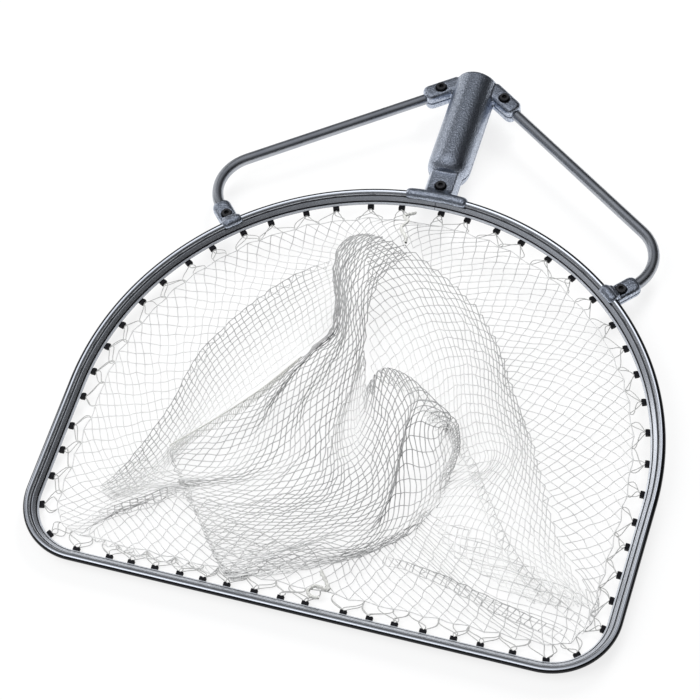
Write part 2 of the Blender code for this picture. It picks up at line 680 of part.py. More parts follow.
def make_clamp(name, side, parent, casting, steel):
    """Upper and lower halves, screw and nut of one hoop clamp, built at the back of the hoop and then turned
    about the back arc's centre to the clamp's bearing."""
    hub = new_empty(name + "_clamp_hub", parent, (0, BACK_CENTRE_Y, 0))
    hub.rotation_euler.z = -clamp_bearing(side)
    shift = Matrix.Translation((0, BACK_RADIUS, 0)) @ Matrix.Rotation(math.pi / 2, 4, "Z")
    back_to_hub = Matrix.Translation((0, -BACK_CENTRE_Y, 0))

    low, high = -PARTING_DROP - CLAMP_HALF_HEIGHT, CLAMP_TOP
    bm = rounded_block(
        CLAMP_EAR_REACH - JAW_FRONT, CLAMP_EAR_WIDTH, low, high, EAR_ROUND + EDGE_ROUND, EAR_ROUND
    )
    bmesh.ops.transform(bm, matrix=shift @ Matrix.Translation((JAW_FRONT, 0, 0)), verts=bm.verts)
    body = helper(name + "_clamp_body", bm, hub)
    saddle = back_sweep(saddle_outline(), 0, CLAMP_SADDLE_HALF_LENGTH, 16, rounded_ends=True)
    bmesh.ops.transform(saddle, matrix=back_to_hub, verts=saddle.verts)
    combine(body, helper(name + "_clamp_saddle", saddle, hub), "UNION")
    link = saddle_link(BACK_RADIUS, CLAMP_EAR_WIDTH - 2 * EDGE_ROUND, low / 2)
    combine(body, helper(name + "_clamp_link", link, hub), "UNION")

    room = back_sweep(hoop_room_outline(), 0, CLAMP_SADDLE_HALF_LENGTH + SADDLE_RADIUS, 16)
    bmesh.ops.transform(room, matrix=back_to_hub, verts=room.verts)
    combine(body, helper(name + "_clamp_hoop_room", room, hub), "DIFFERENCE")
    outer = Vector((0, BACK_RADIUS + CLAMP_EAR_REACH, -PARTING_DROP))
    along = Vector((0, CLAMP_GRIP, 0))
    bottom = outer - along - Vector((0, CLEARANCE, 0))
    rod_room = bar_between(bottom, outer + along, ROD_RADIUS + CLEARANCE, 16)
    combine(body, helper(name + "_clamp_bore", rod_room, hub), "DIFFERENCE")
    place = Vector((0, BACK_RADIUS + CLAMP_SCREW_REACH, 0))
    cut_screw_way(body, name + "_clamp", place, low, high, hub)

    reach = BACK_RADIUS + 2 * CLAMP_EAR_REACH
    upper, lower = split_outlines(BACK_RADIUS, CLAMP_HALF_HEIGHT, 0, reach)
    for half_name, outline in (("upper", upper), ("lower", lower)):
        half = new_object(f"{name}_clamp_{half_name}", prism_along_x(outline, CLAMP_EAR_REACH), hub, casting)
        combine(half, body, "INTERSECT")
    make_screw(name + "_clamp_screw", place, high - HEAD_SINK, low + CLEARANCE, hub, steel)
    make_nut(name + "_clamp_nut", place, low, hub, steel)


def fold_height(x, y):
    """Height of the folded bag over a point of the floor, from its fold crests."""
    best = 0.0
    for crest in BAG_FOLDS:
        for (ax, ay, ah), (bx, by, bh) in zip(crest, crest[1:]):
            run = (bx - ax) ** 2 + (by - ay) ** 2
            share = min(1.0, max(0.0, ((x - ax) * (bx - ax) + (y - ay) * (by - ay)) / run))
            away = math.hypot(x - ax - share * (bx - ax), y - ay - share * (by - ay))
            best = max(best, (ah + share * (bh - ah)) * math.exp(-((away / FOLD_HALF_WIDTH) ** 2)))
    return max(0.0, best - CLEARANCE)


def make_bag(rest, material):
    """The bag as it lies: a skirt from the clips down to the floor, and the heap of its folds inside."""
    rim = []
    for k in range(BAG_SIDES):
        point, out, up, _ = hoop_frame(((k + 0.5) / BAG_SIDES * 2 - 1) * HALF_LENGTH)
        rim.append(rest @ (point + out * BAG_RIM_OFFSET + up * CLIP_BODY_LOW))
    bm = bmesh.new()
    layers = {"low": [], "high": []}
    for j in range(BAG_RINGS):
        inward = j / BAG_RINGS
        ease = min(1.0, inward / BAG_RUN_IN)
        ease = ease * ease * (3 - 2 * ease)
        low_ring, high_ring = [], []
        for start in rim:
            x, y = start.x * (1 - inward), start.y * (1 - inward)
            hang = start.z * (1 - ease)
            low_ring.append(bm.verts.new((x, y, hang)))
            high_ring.append(bm.verts.new((x, y, hang + fold_height(x, y) * ease + BAG_THICKNESS)))
        layers["low"].append(low_ring)
        layers["high"].append(high_ring)
    for name, height in (("low", 0.0), ("high", fold_height(0, 0) + BAG_THICKNESS)):
        rings = layers[name]
        middle = bm.verts.new((0, 0, height))
        for outer, inner in zip(rings, rings[1:]):
            for k in range(BAG_SIDES):
                n = (k + 1) % BAG_SIDES
                bm.faces.new((outer[k], outer[n], inner[n], inner[k]))
        for k in range(BAG_SIDES):
            bm.faces.new((rings[-1][k], rings[-1][(k + 1) % BAG_SIDES], middle))
    low_rim, high_rim = layers["low"][0], layers["high"][0]
    for k in range(BAG_SIDES):
        n = (k + 1) % BAG_SIDES
        bm.faces.new((low_rim[k], low_rim[n], high_rim[n], high_rim[k]))
    bmesh.ops.triangulate(bm, faces=bm.faces)
    return new_object("net_bag", bm, None, material)


def main():
    clear_scene()
    aluminium = make_material("satin_aluminium", (0.50, 0.51, 0.54), 0.34, 1.0)
    rod_metal = make_material("drawn_rod", (0.42, 0.44, 0.48), 0.38, 1.0)
    casting = make_material("powder_coated_casting", (0.36, 0.38, 0.42), 0.45, 0.6)
    steel = make_material("black_oxide_steel", (0.03, 0.03, 0.033), 0.4, 0.8)
    plastic = make_material("black_plastic", (0.015, 0.015, 0.016), 0.5, 0.0)
    netting = make_material("pale_netting", (0.82, 0.82, 0.80), 0.7, 0.0)

    rest = Matrix.Translation((0, -MIDDLE_Y, FRONT_HEIGHT)) @ Matrix.Rotation(REST_TILT, 4, "X")
    frame = new_empty("hoop_frame", None, (0, -MIDDLE_Y, FRONT_HEIGHT))
    frame.rotation_euler.x = REST_TILT

    make_hoop(frame, aluminium)
    make_clips(frame, plastic)
    make_bracket(frame, casting, steel)
    for name, side in (("left", -1), ("right", 1)):
        make_rod(name + "_brace_rod", side, frame, rod_metal)
        make_clamp(name, side, frame, casting, steel)
    make_bag(rest, netting)


main()
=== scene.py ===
"""Looks of the pond net head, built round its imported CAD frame: metal and plastic finishes, a finer hoop and
finer clips, and the net as real strands. Metres, in the frame's axes: +y towards the handle, +Z up.

Sizes of the hoop and its clips are those of the CAD model, in the hoop's own frame: the bead's centreline
lies in z = 0, the straight front runs along x at y = 0, and REST leans the hoop back as it lies.
"""

import math

import bmesh
import bpy
import numpy as np
from mathutils import Matrix, Vector


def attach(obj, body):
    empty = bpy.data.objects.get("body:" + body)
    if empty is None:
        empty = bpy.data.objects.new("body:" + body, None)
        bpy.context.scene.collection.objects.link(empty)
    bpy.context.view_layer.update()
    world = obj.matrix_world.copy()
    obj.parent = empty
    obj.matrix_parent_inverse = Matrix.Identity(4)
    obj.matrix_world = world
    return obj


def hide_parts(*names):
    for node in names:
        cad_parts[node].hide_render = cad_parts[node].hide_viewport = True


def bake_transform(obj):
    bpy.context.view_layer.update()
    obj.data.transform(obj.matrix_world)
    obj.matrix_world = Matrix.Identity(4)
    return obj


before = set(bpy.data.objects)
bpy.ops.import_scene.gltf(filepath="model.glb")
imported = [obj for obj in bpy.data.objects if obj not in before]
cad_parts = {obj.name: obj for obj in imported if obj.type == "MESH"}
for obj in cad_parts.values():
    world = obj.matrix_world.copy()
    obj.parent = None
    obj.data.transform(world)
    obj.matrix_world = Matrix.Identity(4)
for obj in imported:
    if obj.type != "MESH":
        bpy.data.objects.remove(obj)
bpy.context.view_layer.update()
chance = np.random.default_rng(11)

# Hoop
BACK_RADIUS = 0.2925
HOOP_DEPTH = 0.4871
CORNER_RADIUS = 0.063
SIDE_HEADING = math.radians(90 - 1.7)
BUTT_GAP = 0.0006
BEAD_RADIUS = 0.0034
FLANGE_SLOPE = math.radians(42)
FLANGE_REACH = 0.0129
FLANGE_THICKNESS = 0.0046
NECK_GROOVE = 0.0009
TRACK_DEPTH = 0.0035
TRACK_HEIGHT = 0.003
SLOT_HEIGHT = 0.0018
LIP_DEPTH = 0.0012
# A shallow groove above the lip, which the CAD model leaves out
LIP_GROOVE_START = 0.0086
LIP_GROOVE_END = 0.0101
LIP_GROOVE_DEPTH = 0.0005
REST = Matrix.Translation((0, -0.324225, 0.011532)) @ Matrix.Rotation(math.radians(2.18966), 4, "X")

# Clips: in the track as shares of the straight front's half or of the way round from the back's middle
CLIP_LENGTH = 0.0065
CLIP_DEPTH = 0.0053
CLIP_HEIGHT = 0.004
CLIP_NOTCH_HALF = 0.0006
CLIP_NOTCH_DEPTH = 0.0007
CLIP_ROUNDING = 0.00028
CLEARANCE = 0.0003
FRONT_CLIP_SHARES = [-0.842, -0.744, -0.638, -0.527, -0.425, -0.319, -0.199, -0.084,
                     0.022, 0.186, 0.297, 0.403, 0.523, 0.651, 0.762, 0.895]
LEFT_CLIP_SHARES = [0.0393, 0.1179, 0.1976, 0.2741, 0.3472, 0.4204, 0.4892, 0.5613, 0.6246, 0.7109]
RIGHT_CLIP_SHARES = [0.0415, 0.1136, 0.1911, 0.2708, 0.3418, 0.4182, 0.4958, 0.5591, 0.6213, 0.7043]
# Those that stand between them, which the CAD model leaves out
LEFT_EXTRA_SHARES = [0.0764, 0.1540, 0.2326, 0.3079, 0.3822, 0.4532, 0.5231, 0.5919, 0.6628, 0.7556]
RIGHT_EXTRA_SHARES = [0.0087, 0.0797, 0.1529, 0.2293, 0.3058, 0.3789, 0.4575, 0.5296, 0.5919, 0.6552, 0.7436]

# Net
HEAP_STRAND_RADIUS = 0.00043
HALF_MESH = 0.0076
STRAND_RADIUS = 0.00042
KNOT_SWELL = 1.25
STRAND_SIDES = 4
MERIDIANS = 256
EDGE_OFFSET = -0.0275
FRONT_EDGE_OFFSET = -0.0290
EDGE_DROP = -0.0098
ROLL_OUT = 0.0015
ROLL_IN = 0.0015
# Heights of a rolled edge's two rows: a share of the edge's own, and a little more
ROLL_TURN = (0.5, 0.001)
ROLL_UNDER = (0.12, 0.0015)
SELVEDGE_RADIUS = 0.0008
SELVEDGE_COLUMNS = 3.4
SELVEDGE_ROWS = 0.42
SELVEDGE_LIFT = 0.0015
HERRINGBONE_STEP = 6
SEAM_RADIUS = 0.0017
SEAM_STRAY = 0.0003
# Lacing: how far along a yarn reaches, how far a slack one swings, leans and dips, and a tighter one bows
LACING_REACH = 0.0115
LACING_RADIUS = STRAND_RADIUS * 1.15
SLACK_REACH = (0.8, 1.5)
TIGHT_REACH = (0.85, 1.1)
SLACK_SWING = (0.006, 0.012)
SLACK_LEAN = (0.0, 0.008)
SLACK_DIP = (0.004, 0.009)
TIGHT_BOW = (0.002, 0.007)
LACING_LOWEST = 0.0008
# Share of the left half, from the front's middle, on which every yarn is slack
SLACK_LEFT = 0.78
# A clip draws the net's edge out over a short stretch, and between clips it hangs slack
EDGE_PULL = 0.0032
EDGE_PULL_STRETCH = 0.007
EDGE_SLACK = 0.0012
# Slow waves; and their size and how far a knot strays, in each part of the net
WAVE_COUNT = 7
WAVE_PACE = (70, 210)
SKIRT_RIPPLE = (0.0006, 0.0003)
FOLD_RIPPLE = (0.0008, 0.0004)
HEAP_RIPPLE = (0.0011, 0.0005)
STRAND_STRAY = 0.0002
KNOT_LOWEST = 0.0012

# Net lattice of each part of the heap: rows between guide rows, and columns
FLAP_ROWS = [6, 6, 6, 6, 5, 5]
FLAP_COLUMNS = 46
BODY_ROWS = [5, 5, 5, 6, 6, 6, 7, 9]
BODY_COLUMNS = 44
SAIL_ROWS = [8, 6, 5, 4, 4]
SAIL_COLUMNS = 68
# Rails, rungs and darkest painted shade of each fold's ladder: the left fold, the two by the front corners,
# the crease on the right, and the rim of the lump's mouth
FOLD_ROWS = [[3, 3, 6], [2], [1], [1], [3]]
FOLD_RUNGS = [44, 13, 24, 28, 30]
FOLD_SHADE = [1.0, 0.9, 0.9, 0.5, 0.9]
# Guide rows of the skirt, from the last on past the first, on which it ends at a fold's crest
FOLD_STATIONS = (19.5, 6.4)
FOLD_CREST = 3
# Tones from 0, light, to 1, dark, which paint shade on the heap and its folds; the heap is darkest from a
# height up
SKIRT_TONE = 0.40
HEAP_HIGH = 0.030

# Greys round the hoop's section on its front and on its back, by the distance from the bead's foot: painted
# highlights, reflections and shade, light stripes on its edges and dark ones in its grooves
SECTION_ROUND = 0.056
FRONT_PAINTED_LIGHT = [
    (0.0103, 0.03), (0.0106, 0.95), (0.0113, 0.95), (0.0117, 0.30), (0.0170, 0.35), (0.0178, 0.05),
    (0.0197, 0.05), (0.0204, 0.72), (0.0241, 0.66), (0.0245, 0.06), (0.0261, 0.06), (0.0265, 0.62),
    (0.0284, 0.62), (0.0290, 0.08),
]
BACK_PAINTED_LIGHT = [
    (0.0119, 0.02), (0.0123, 0.98), (0.0134, 0.98), (0.0138, 0.50), (0.0152, 0.65), (0.0156, 0.18),
    (0.0162, 0.18), (0.0166, 0.55), (0.0176, 0.50), (0.0180, 0.05), (0.0197, 0.05), (0.0204, 0.82),
    (0.0241, 0.74), (0.0245, 0.06), (0.0261, 0.06), (0.0265, 0.82), (0.0284, 0.82), (0.0290, 0.08),
]
# The lip's edge in the same distances, where the greys above paint a highlight, and how metallic it is beside
# the rest
LIP_EDGE = (0.0266, 0.0285)
LIP_BLEND = 0.004
LIP_METALLIC = 0.35
BAR_METALLIC = 0.9
# Painted light and shade by how far a surface faces up: on the brace rods lighter sides and a darker top, on
# the castings' coat darker faces that look up
ROD_PAINTED_LIGHT = [(0.0, 0.50), (0.60, 0.48), (0.74, 0.38), (0.95, 0.27)]
CASTING_PAINTED_SHADE = [(0.35, 1.0), (0.9, 0.6)]
METAL_HUE = (0.95, 0.99, 1.06)

# Castings: remeshing step and smoothing steps
CAST_GRAIN = 0.0007
CAST_SOFTENING = 18
# How far the brace rods stand out from the CAD model's bar, all round
ROD_EXTRA = 0.0009

# Studio light by height of direction: dark low down, bright overhead; and how much less comes from the right
SKY_LEVELS = [(0.0, 0.14), (0.6, 0.16), (0.77, 0.22), (0.88, 0.95), (1.0, 1.0)]
SKY_LEAN = 1.1
SKY_LEAN_HEIGHT = 0.4
SKY_LEAST = 0.08
SKY_HUE = (1, 1.02, 1.06)
WHITE = (1, 1, 1, 1)
# Floor, with its share of plain white near the object and far off, and where that changes
FLOOR_HALF = 6.0
FLOOR_GREY = 0.93
FLOOR_WHITE = (0.8, 1.0)
FLOOR_FADE = (0.6, 1.5)
# Lamps: place, size, power, and whether metal mirrors them
LAMPS = {
    "key": ((0.2, 2.2, 1.45), 1.1, 60, False),
    "fill": ((-1.2, -0.7, 1.7), 1.8, 26, False),
    "left": ((-1.9, 1.1, 0.8), 1.7, 8, True),
}
# Camera at the photograph's viewpoint: bearing from the front towards the right, height and lean
CAMERA_TARGET = Vector((-0.03327, -0.039363, 0.022424))
CAMERA_DISTANCE = 2.0008
CAMERA_BEARING = math.radians(23.4308)
CAMERA_HEIGHT = math.radians(54.4207)
CAMERA_LEAN = math.radians(-7.78597)
CAMERA_LENS = 103.823
CAMERA_SENSOR = 36.0

# Guide points of the net in millimetres, (x, y, z) as it lies
# Skirt: rows leftwards round the hoop from the back's middle, each from near the net's edge inward
SKIRT_GUIDES = [
    [(-16, 131, 12), (-19, 110, 13), (-19, 104, 12), (-17, 94, 10), (-16, 86, 8)],
    [(-71, 124, 13), (-68, 107, 16), (-67, 100, 16), (-64, 89, 14), (-62, 81, 12)],
    [(-118, 91, 7), (-87, 68, 14), (-85, 63, 12), (-78, 45, 8), (-62, 5, 4)],
    [(-169, 50, 5), (-134, 22, 12), (-127, 16, 11), (-110, 1, 5), (-71, -37, 3)],
    [(-203, -7, 4), (-171, -38, 11), (-165, -44, 10), (-146, -58, 5), (-101, -101, 3)],
    [(-226, -80, 3), (-185, -111, 11), (-180, -115, 10), (-165, -124, 5), (-128, -150, 3)],
    [(-233, -152, 3), (-197, -176, 10), (-192, -177, 9), (-181, -181, 5), (-155, -193, 3)],
    [(-239, -214, 3), (-210, -225, 9), (-195, -224, 6), (-174, -221, 3), (-144, -213, 3)],
    [(-230, -265, 3), (-196, -255, 9), (-174, -240, 6), (-155, -226, 4), (-134, -218, 3)],
    [(-222, -295, 3), (-220, -290, 4), (-218, -285, 5), (-216, -281, 5), (-214, -278, 5)],
    [(-154, -305, 3), (-163, -290, 3), (-169, -277, 3), (-179, -260, 4), (-187, -247, 6)],
    [(-74, -302, 3), (-87, -287, 3), (-101, -271, 3), (-119, -248, 3), (-137, -225, 6)],
    [(0, -289, 3), (2, -282, 3), (2, -275, 3), (3, -268, 3), (4, -253, 3)],
    [(68, -284, 3), (63, -275, 3), (58, -264, 3), (51, -251, 3), (40, -232, 3)],
    [(137, -278, 4), (118, -257, 9), (109, -250, 5), (94, -236, 3), (72, -215, 3)],
    [(208, -284, 4), (182, -270, 9), (167, -262, 5), (132, -226, 3), (92, -187, 3)],
    [(264, -262, 3), (258, -254, 4), (252, -245, 5), (247, -238, 5), (241, -231, 4)],
    [(259, -200, 3), (242, -198, 4), (228, -196, 6), (222, -195, 5), (214, -193, 4)],
    [(249, -127, 3), (222, -133, 4), (200, -139, 6), (192, -139, 5), (183, -140, 4)],
    [(235, -57, 3), (203, -72, 4), (172, -87, 8), (164, -90, 7), (155, -92, 5)],
    [(173, -10, 4), (133, -38, 8), (128, -43, 7), (123, -45, 6), (120, -47, 4)],
    [(145, 40, 4), (108, 8, 9), (104, 2, 8), (101, -1, 7), (96, -5, 6)],
    [(100, 85, 6), (71, 52, 9), (66, 45, 8), (64, 40, 7), (60, 34, 6)],
    [(45, 115, 8), (26, 85, 10), (23, 77, 9), (21, 72, 8), (20, 66, 7)],
]
# Inner slope of the back and right fold: rows along the fold from its crest down to the floor
SAIL_GUIDES = [
    [(-55, 92, 40), (-38, 100, 28), (-18, 102, 19), (10, 91, 14), (40, 73, 12), (69, 52, 12),
     (92, 27, 12), (111, 1, 12), (130, -33, 11), (147, -61, 10), (164, -89, 8), (191, -142, 7),
     (220, -196, 6), (259, -248, 5)],
    [(-47, 66, 28), (-31, 69, 22), (-11, 69, 17), (13, 61, 13), (39, 46, 10), (64, 29, 9), (85, 7, 8),
     (103, -16, 8), (120, -46, 7), (137, -71, 6), (154, -97, 5), (171, -147, 6), (199, -201, 5),
     (248, -251, 5)],
    [(-39, 39, 18), (-24, 41, 14), (-6, 39, 11), (16, 32, 9), (38, 20, 7), (59, 4, 6), (79, -15, 6),
     (94, -35, 5), (111, -59, 5), (128, -82, 5), (145, -105, 4), (152, -153, 5), (179, -206, 5),
     (238, -252, 4)],
    [(-30, 11, 10), (-17, 11, 8), (-1, 10, 6), (17, 4, 5), (36, -7, 5), (54, -19, 4), (71, -36, 4),
     (86, -55, 4), (101, -74, 4), (118, -93, 3), (135, -114, 3), (132, -158, 5), (157, -212, 4),
     (227, -254, 4)],
    [(-20, -19, 6), (-9, -21, 5), (5, -22, 4), (20, -27, 4), (34, -34, 3), (50, -45, 3), (64, -58, 3),
     (78, -74, 3), (92, -88, 3), (108, -105, 3), (126, -124, 3), (113, -163, 4), (136, -217, 4),
     (218, -256, 3)],
    [(-10, -48, 4), (0, -55, 4), (12, -59, 3), (22, -64, 3), (35, -70, 3), (47, -79, 3), (59, -88, 3),
     (71, -99, 3), (83, -106, 3), (94, -115, 3), (102, -127, 3), (93, -169, 3), (115, -222, 3),
     (207, -258, 3)],
]
# Flap of the heap: rows from its left edge through the neck to the hood; the first is its selvedge
FLAP_GUIDES = [
    [(-175, -182, 8), (-141, -144, 11), (-109, -104, 14), (-86, -69, 18), (-69, -42, 22), (-58, -17, 27),
     (-65, 14, 31), (-75, 40, 36), (-78, 62, 41), (-74, 75, 44), (-68, 83, 44)],
    [(-163, -200, 16), (-126, -172, 21), (-99, -135, 25), (-81, -87, 28), (-66, -54, 31), (-53, -29, 34),
     (-58, 5, 39), (-68, 34, 43), (-71, 59, 46), (-67, 75, 47), (-60, 86, 45)],
    [(-154, -211, 6), (-118, -192, 10), (-95, -157, 15), (-84, -99, 20), (-68, -56, 26), (-51, -31, 32),
     (-54, 1, 41), (-62, 29, 45), (-63, 55, 48), (-59, 76, 48), (-50, 88, 46)],
    [(-148, -218, 12), (-99, -202, 18), (-74, -170, 25), (-63, -114, 31), (-52, -67, 35), (-43, -36, 38),
     (-48, -3, 42), (-55, 27, 46), (-55, 53, 48), (-49, 75, 48), (-40, 88, 46)],
    [(-144, -220, 8), (-91, -204, 12), (-56, -171, 16), (-54, -118, 24), (-42, -70, 30), (-37, -37, 36),
     (-41, -7, 41), (-46, 21, 44), (-45, 49, 46), (-38, 71, 46), (-28, 85, 45)],
    [(-136, -231, 12), (-77, -216, 18), (-38, -178, 26), (-34, -132, 32), (-28, -79, 35), (-25, -41, 36),
     (-31, -13, 38), (-35, 17, 41), (-33, 44, 42), (-25, 66, 42), (-16, 81, 42)],
    [(-127, -242, 12), (-64, -226, 18), (-22, -186, 24), (-22, -133, 22), (-21, -80, 18), (-21, -36, 22),
     (-23, -12, 28), (-28, 17, 33), (-24, 44, 36), (-15, 63, 38), (-3, 76, 39)],
]
# Body of the heap: rows from its left edge round the pocket and up into the lump
BODY_GUIDES = [
    [(-127, -241, 12), (-75, -228, 18), (-38, -208, 23), (-22, -186, 25), (-19, -160, 25),
     (-22, -132, 22), (-22, -105, 19), (-21, -79, 18), (-21, -56, 20), (-21, -36, 22)],
    [(-118, -251, 12), (-66, -236, 19), (-27, -218, 25), (-8, -197, 28), (-6, -171, 26),
     (-13, -142, 18), (-17, -112, 10), (-18, -86, 7), (-18, -67, 8), (-17, -49, 10)],
    [(-110, -262, 12), (-59, -242, 18), (-19, -223, 24), (2, -203, 27), (8, -180, 27),
     (4, -156, 20), (-1, -131, 10), (-5, -109, 6), (-7, -88, 7), (-9, -69, 10)],
    [(-103, -270, 11), (-52, -251, 17), (-11, -230, 22), (13, -211, 25), (25, -192, 28),
     (26, -170, 28), (20, -143, 24), (13, -117, 21), (6, -93, 22), (-1, -70, 25)],
    [(-94, -280, 10), (-43, -261, 15), (-1, -237, 20), (25, -220, 24), (40, -200, 28),
     (43, -176, 31), (38, -150, 34), (31, -120, 36), (21, -89, 36), (8, -59, 33)],
    [(-87, -288, 9), (-36, -269, 13), (9, -244, 17), (37, -227, 21), (52, -207, 26),
     (55, -181, 31), (52, -153, 36), (49, -124, 40), (44, -94, 41), (34, -65, 37)],
    [(-79, -296, 8), (-40, -276, 12), (-10, -260, 15), (31, -250, 17), (50, -227, 20),
     (55, -194, 25), (54, -155, 30), (52, -123, 34), (60, -97, 37), (80, -91, 30)],
    [(-74, -301, 6), (-34, -281, 7), (3, -265, 8), (41, -248, 9), (67, -221, 10),
     (80, -185, 12), (83, -146, 14), (79, -123, 16), (77, -109, 16), (81, -97, 14)],
    [(-68, -304, 3), (-22, -285, 3), (17, -265, 3), (51, -243, 4), (77, -217, 4),
     (95, -179, 4), (99, -133, 5), (97, -113, 6), (95, -102, 6), (91, -93, 8)],
]
# Folds as ladders: each from the crest's rail to the lowest
FOLD_GUIDES = [
    [
        [(-87, 69, 16), (-123, 39, 13), (-157, -12, 12), (-182, -70, 12), (-189, -133, 12),
         (-198, -175, 11), (-206, -203, 10), (-214, -226, 10), (-226, -241, 7)],
        [(-81, 57, 12), (-112, 27, 9), (-145, -23, 9), (-171, -79, 9), (-179, -138, 8),
         (-188, -180, 8), (-198, -207, 7), (-209, -229, 6), (-222, -245, 5)],
        [(-75, 46, 8), (-100, 16, 5), (-132, -33, 5), (-158, -88, 5), (-168, -144, 5),
         (-177, -185, 5), (-189, -211, 4), (-201, -233, 4), (-217, -248, 3)],
        [(-64, 7, 4), (-75, -20, 3), (-98, -59, 3), (-123, -100, 3), (-145, -140, 3),
         (-163, -176, 3), (-172, -210, 3), (-186, -232, 3), (-210, -252, 3)],
    ],
    [
        [(-221, -274, 8), (-198, -257, 12), (-175, -242, 13), (-156, -227, 12), (-139, -223, 8)],
        [(-217, -282, 4), (-193, -265, 6), (-169, -250, 6), (-151, -234, 6), (-135, -233, 4)],
    ],
    [
        [(64, -248, 10), (110, -252, 11), (158, -263, 11), (196, -271, 10), (240, -279, 8)],
        [(63, -253, 5), (108, -259, 6), (154, -271, 6), (191, -280, 5), (233, -287, 4)],
    ],
    [
        [(98, -100, 6), (126, -139, 7), (158, -186, 8), (189, -222, 8),
         (217, -243, 8), (241, -255, 7), (261, -269, 5)],
        [(93, -105, 4), (120, -144, 5), (152, -191, 5), (185, -229, 5),
         (214, -250, 5), (238, -263, 5), (258, -276, 4)],
    ],
    [
        [(65, -101, 36), (78, -95, 34), (91, -97, 29), (98, -107, 22),
         (101, -120, 16), (101, -135, 12), (98, -150, 9)],
        [(67, -113, 35), (79, -107, 33), (88, -109, 28), (92, -115, 22),
         (95, -125, 17), (94, -138, 13), (91, -152, 10)],
    ],
]

# Seam cords: by the bracket and by the front
SEAM_GUIDES = [
    [(-18, 144, 22), (-28, 136, 24), (-22, 129, 26), (-25, 117, 30), (-22, 109, 34),
     (-15, 99, 38), (-13, 92, 38)],
    [(10, -277, 8), (22, -292, 5), (10, -292, 6), (4, -298, 5), (8, -303, 5), (16, -303, 5)],
]


# Hoop frame

SIDE_LENGTH = (
    HOOP_DEPTH
    - CORNER_RADIUS * (1 - math.cos(SIDE_HEADING))
    - BACK_RADIUS * (1 + math.cos(SIDE_HEADING))
) / math.sin(SIDE_HEADING)
FRONT_HALF = (BACK_RADIUS - CORNER_RADIUS) * math.sin(SIDE_HEADING) - SIDE_LENGTH * math.cos(SIDE_HEADING)
CORNER_END = FRONT_HALF + CORNER_RADIUS * SIDE_HEADING
SIDE_END = CORNER_END + SIDE_LENGTH
HALF_LENGTH = SIDE_END + BACK_RADIUS * (math.pi - SIDE_HEADING)
FLANGE_IN = Vector((-math.cos(FLANGE_SLOPE), -math.sin(FLANGE_SLOPE)))
FLANGE_UP = Vector((-math.sin(FLANGE_SLOPE), math.cos(FLANGE_SLOPE)))
CLIP_OUT = FLANGE_IN.x * FLANGE_REACH - CLEARANCE
CLIP_IN = CLIP_OUT - CLIP_DEPTH
CLIP_LOW = FLANGE_IN.y * FLANGE_REACH - 0.6 * CLIP_HEIGHT


def on_hoop(s):
    """Place and heading on the bead's centreline, a distance s to the right of the front's middle."""
    side = 1 if s >= 0 else -1
    s = abs(s)
    if s <= SIDE_END:
        heading = min(max(0.0, (s - FRONT_HALF) / CORNER_RADIUS), SIDE_HEADING)
        run = max(0.0, s - CORNER_END)
        x = min(s, FRONT_HALF) + CORNER_RADIUS * math.sin(heading) + run * math.cos(heading)
        y = CORNER_RADIUS * (1 - math.cos(heading)) + run * math.sin(heading)
    else:
        heading = SIDE_HEADING + (s - SIDE_END) / BACK_RADIUS
        x = BACK_RADIUS * math.sin(heading)
        y = HOOP_DEPTH - BACK_RADIUS - BACK_RADIUS * math.cos(heading)
    return Vector((side * x, y, 0)), side * heading


def near_hoop(s, out, up, along=0.0):
    """World place beside the hoop: out from the bead's middle, up from its plane, along its run."""
    point, heading = on_hoop(s)
    run = Vector((math.cos(heading), math.sin(heading), 0))
    outward = Vector((math.sin(heading), -math.cos(heading), 0))
    return np.array(REST @ (point + outward * out + Vector((0, 0, up)) + run * along))


def flange_point(along, above):
    point = FLANGE_IN * along + FLANGE_UP * above
    return point.x, point.y


# Finishes

def feed(tree, made, inputs):
    """Sets a node's inputs by name or number, each to a value or to another node's output."""
    for name, value in inputs.items():
        if isinstance(value, bpy.types.NodeSocket):
            tree.links.new(value, made.inputs[name])
        else:
            made.inputs[name].default_value = value
    return made


def node(tree, kind, inputs, **settings):
    made = tree.nodes.new(kind)
    for name, value in settings.items():
        setattr(made, name, value)
    return feed(tree, made, inputs)


def finish(name, colour, roughness, metallic=0.0):
    made = bpy.data.materials.new(name)
    made.use_nodes = True
    tree = made.node_tree
    values = {"Base Color": (*colour, 1), "Roughness": roughness, "Metallic": metallic}
    return made, tree, feed(tree, tree.nodes["Principled BSDF"], values)


def place_in(tree, output="Object", stretch=(1, 1, 1)):
    """Texture coordinates, stretched by a factor on each axis."""
    source = tree.nodes.new("ShaderNodeTexCoord").outputs[output]
    return node(tree, "ShaderNodeMapping", {"Vector": source, "Scale": stretch}).outputs["Vector"]


def noise(tree, where, scale, detail=3.0):
    return node(tree, "ShaderNodeTexNoise", {"Vector": where, "Scale": scale, "Detail": detail}).outputs[0]


def spread(tree, value, low, high, start=0.3, end=0.7):
    """Carries a value between start and end over to low and high."""
    ends = {"From Min": start, "From Max": end, "To Min": low, "To Max": high}
    return node(tree, "ShaderNodeMapRange", {"Value": value, **ends}).outputs["Result"]


def maths(tree, operation, *values):
    return node(tree, "ShaderNodeMath", dict(enumerate(values)), operation=operation).outputs[0]


def axis(tree, vector, name):
    return node(tree, "ShaderNodeSeparateXYZ", {0: vector}).outputs[name]


def upward(tree):
    """How far the surface faces up."""
    return axis(tree, tree.nodes.new("ShaderNodeNewGeometry").outputs["Normal"], "Z")


def ramp(tree, value, stops):
    """A colour for each (place, colour) stop of a value."""
    made = node(tree, "ShaderNodeValToRGB", {"Fac": value})
    elements = made.color_ramp.elements
    while len(elements) < len(stops):
        elements.new(0.5)
    for element, (place, colour) in zip(elements, stops):
        element.position = place
        element.color = (*colour, 1)
    return made.outputs["Color"]


def tint(tree, value, low, high, start=0.3, end=0.7):
    return ramp(tree, value, [(start, low), (end, high)])


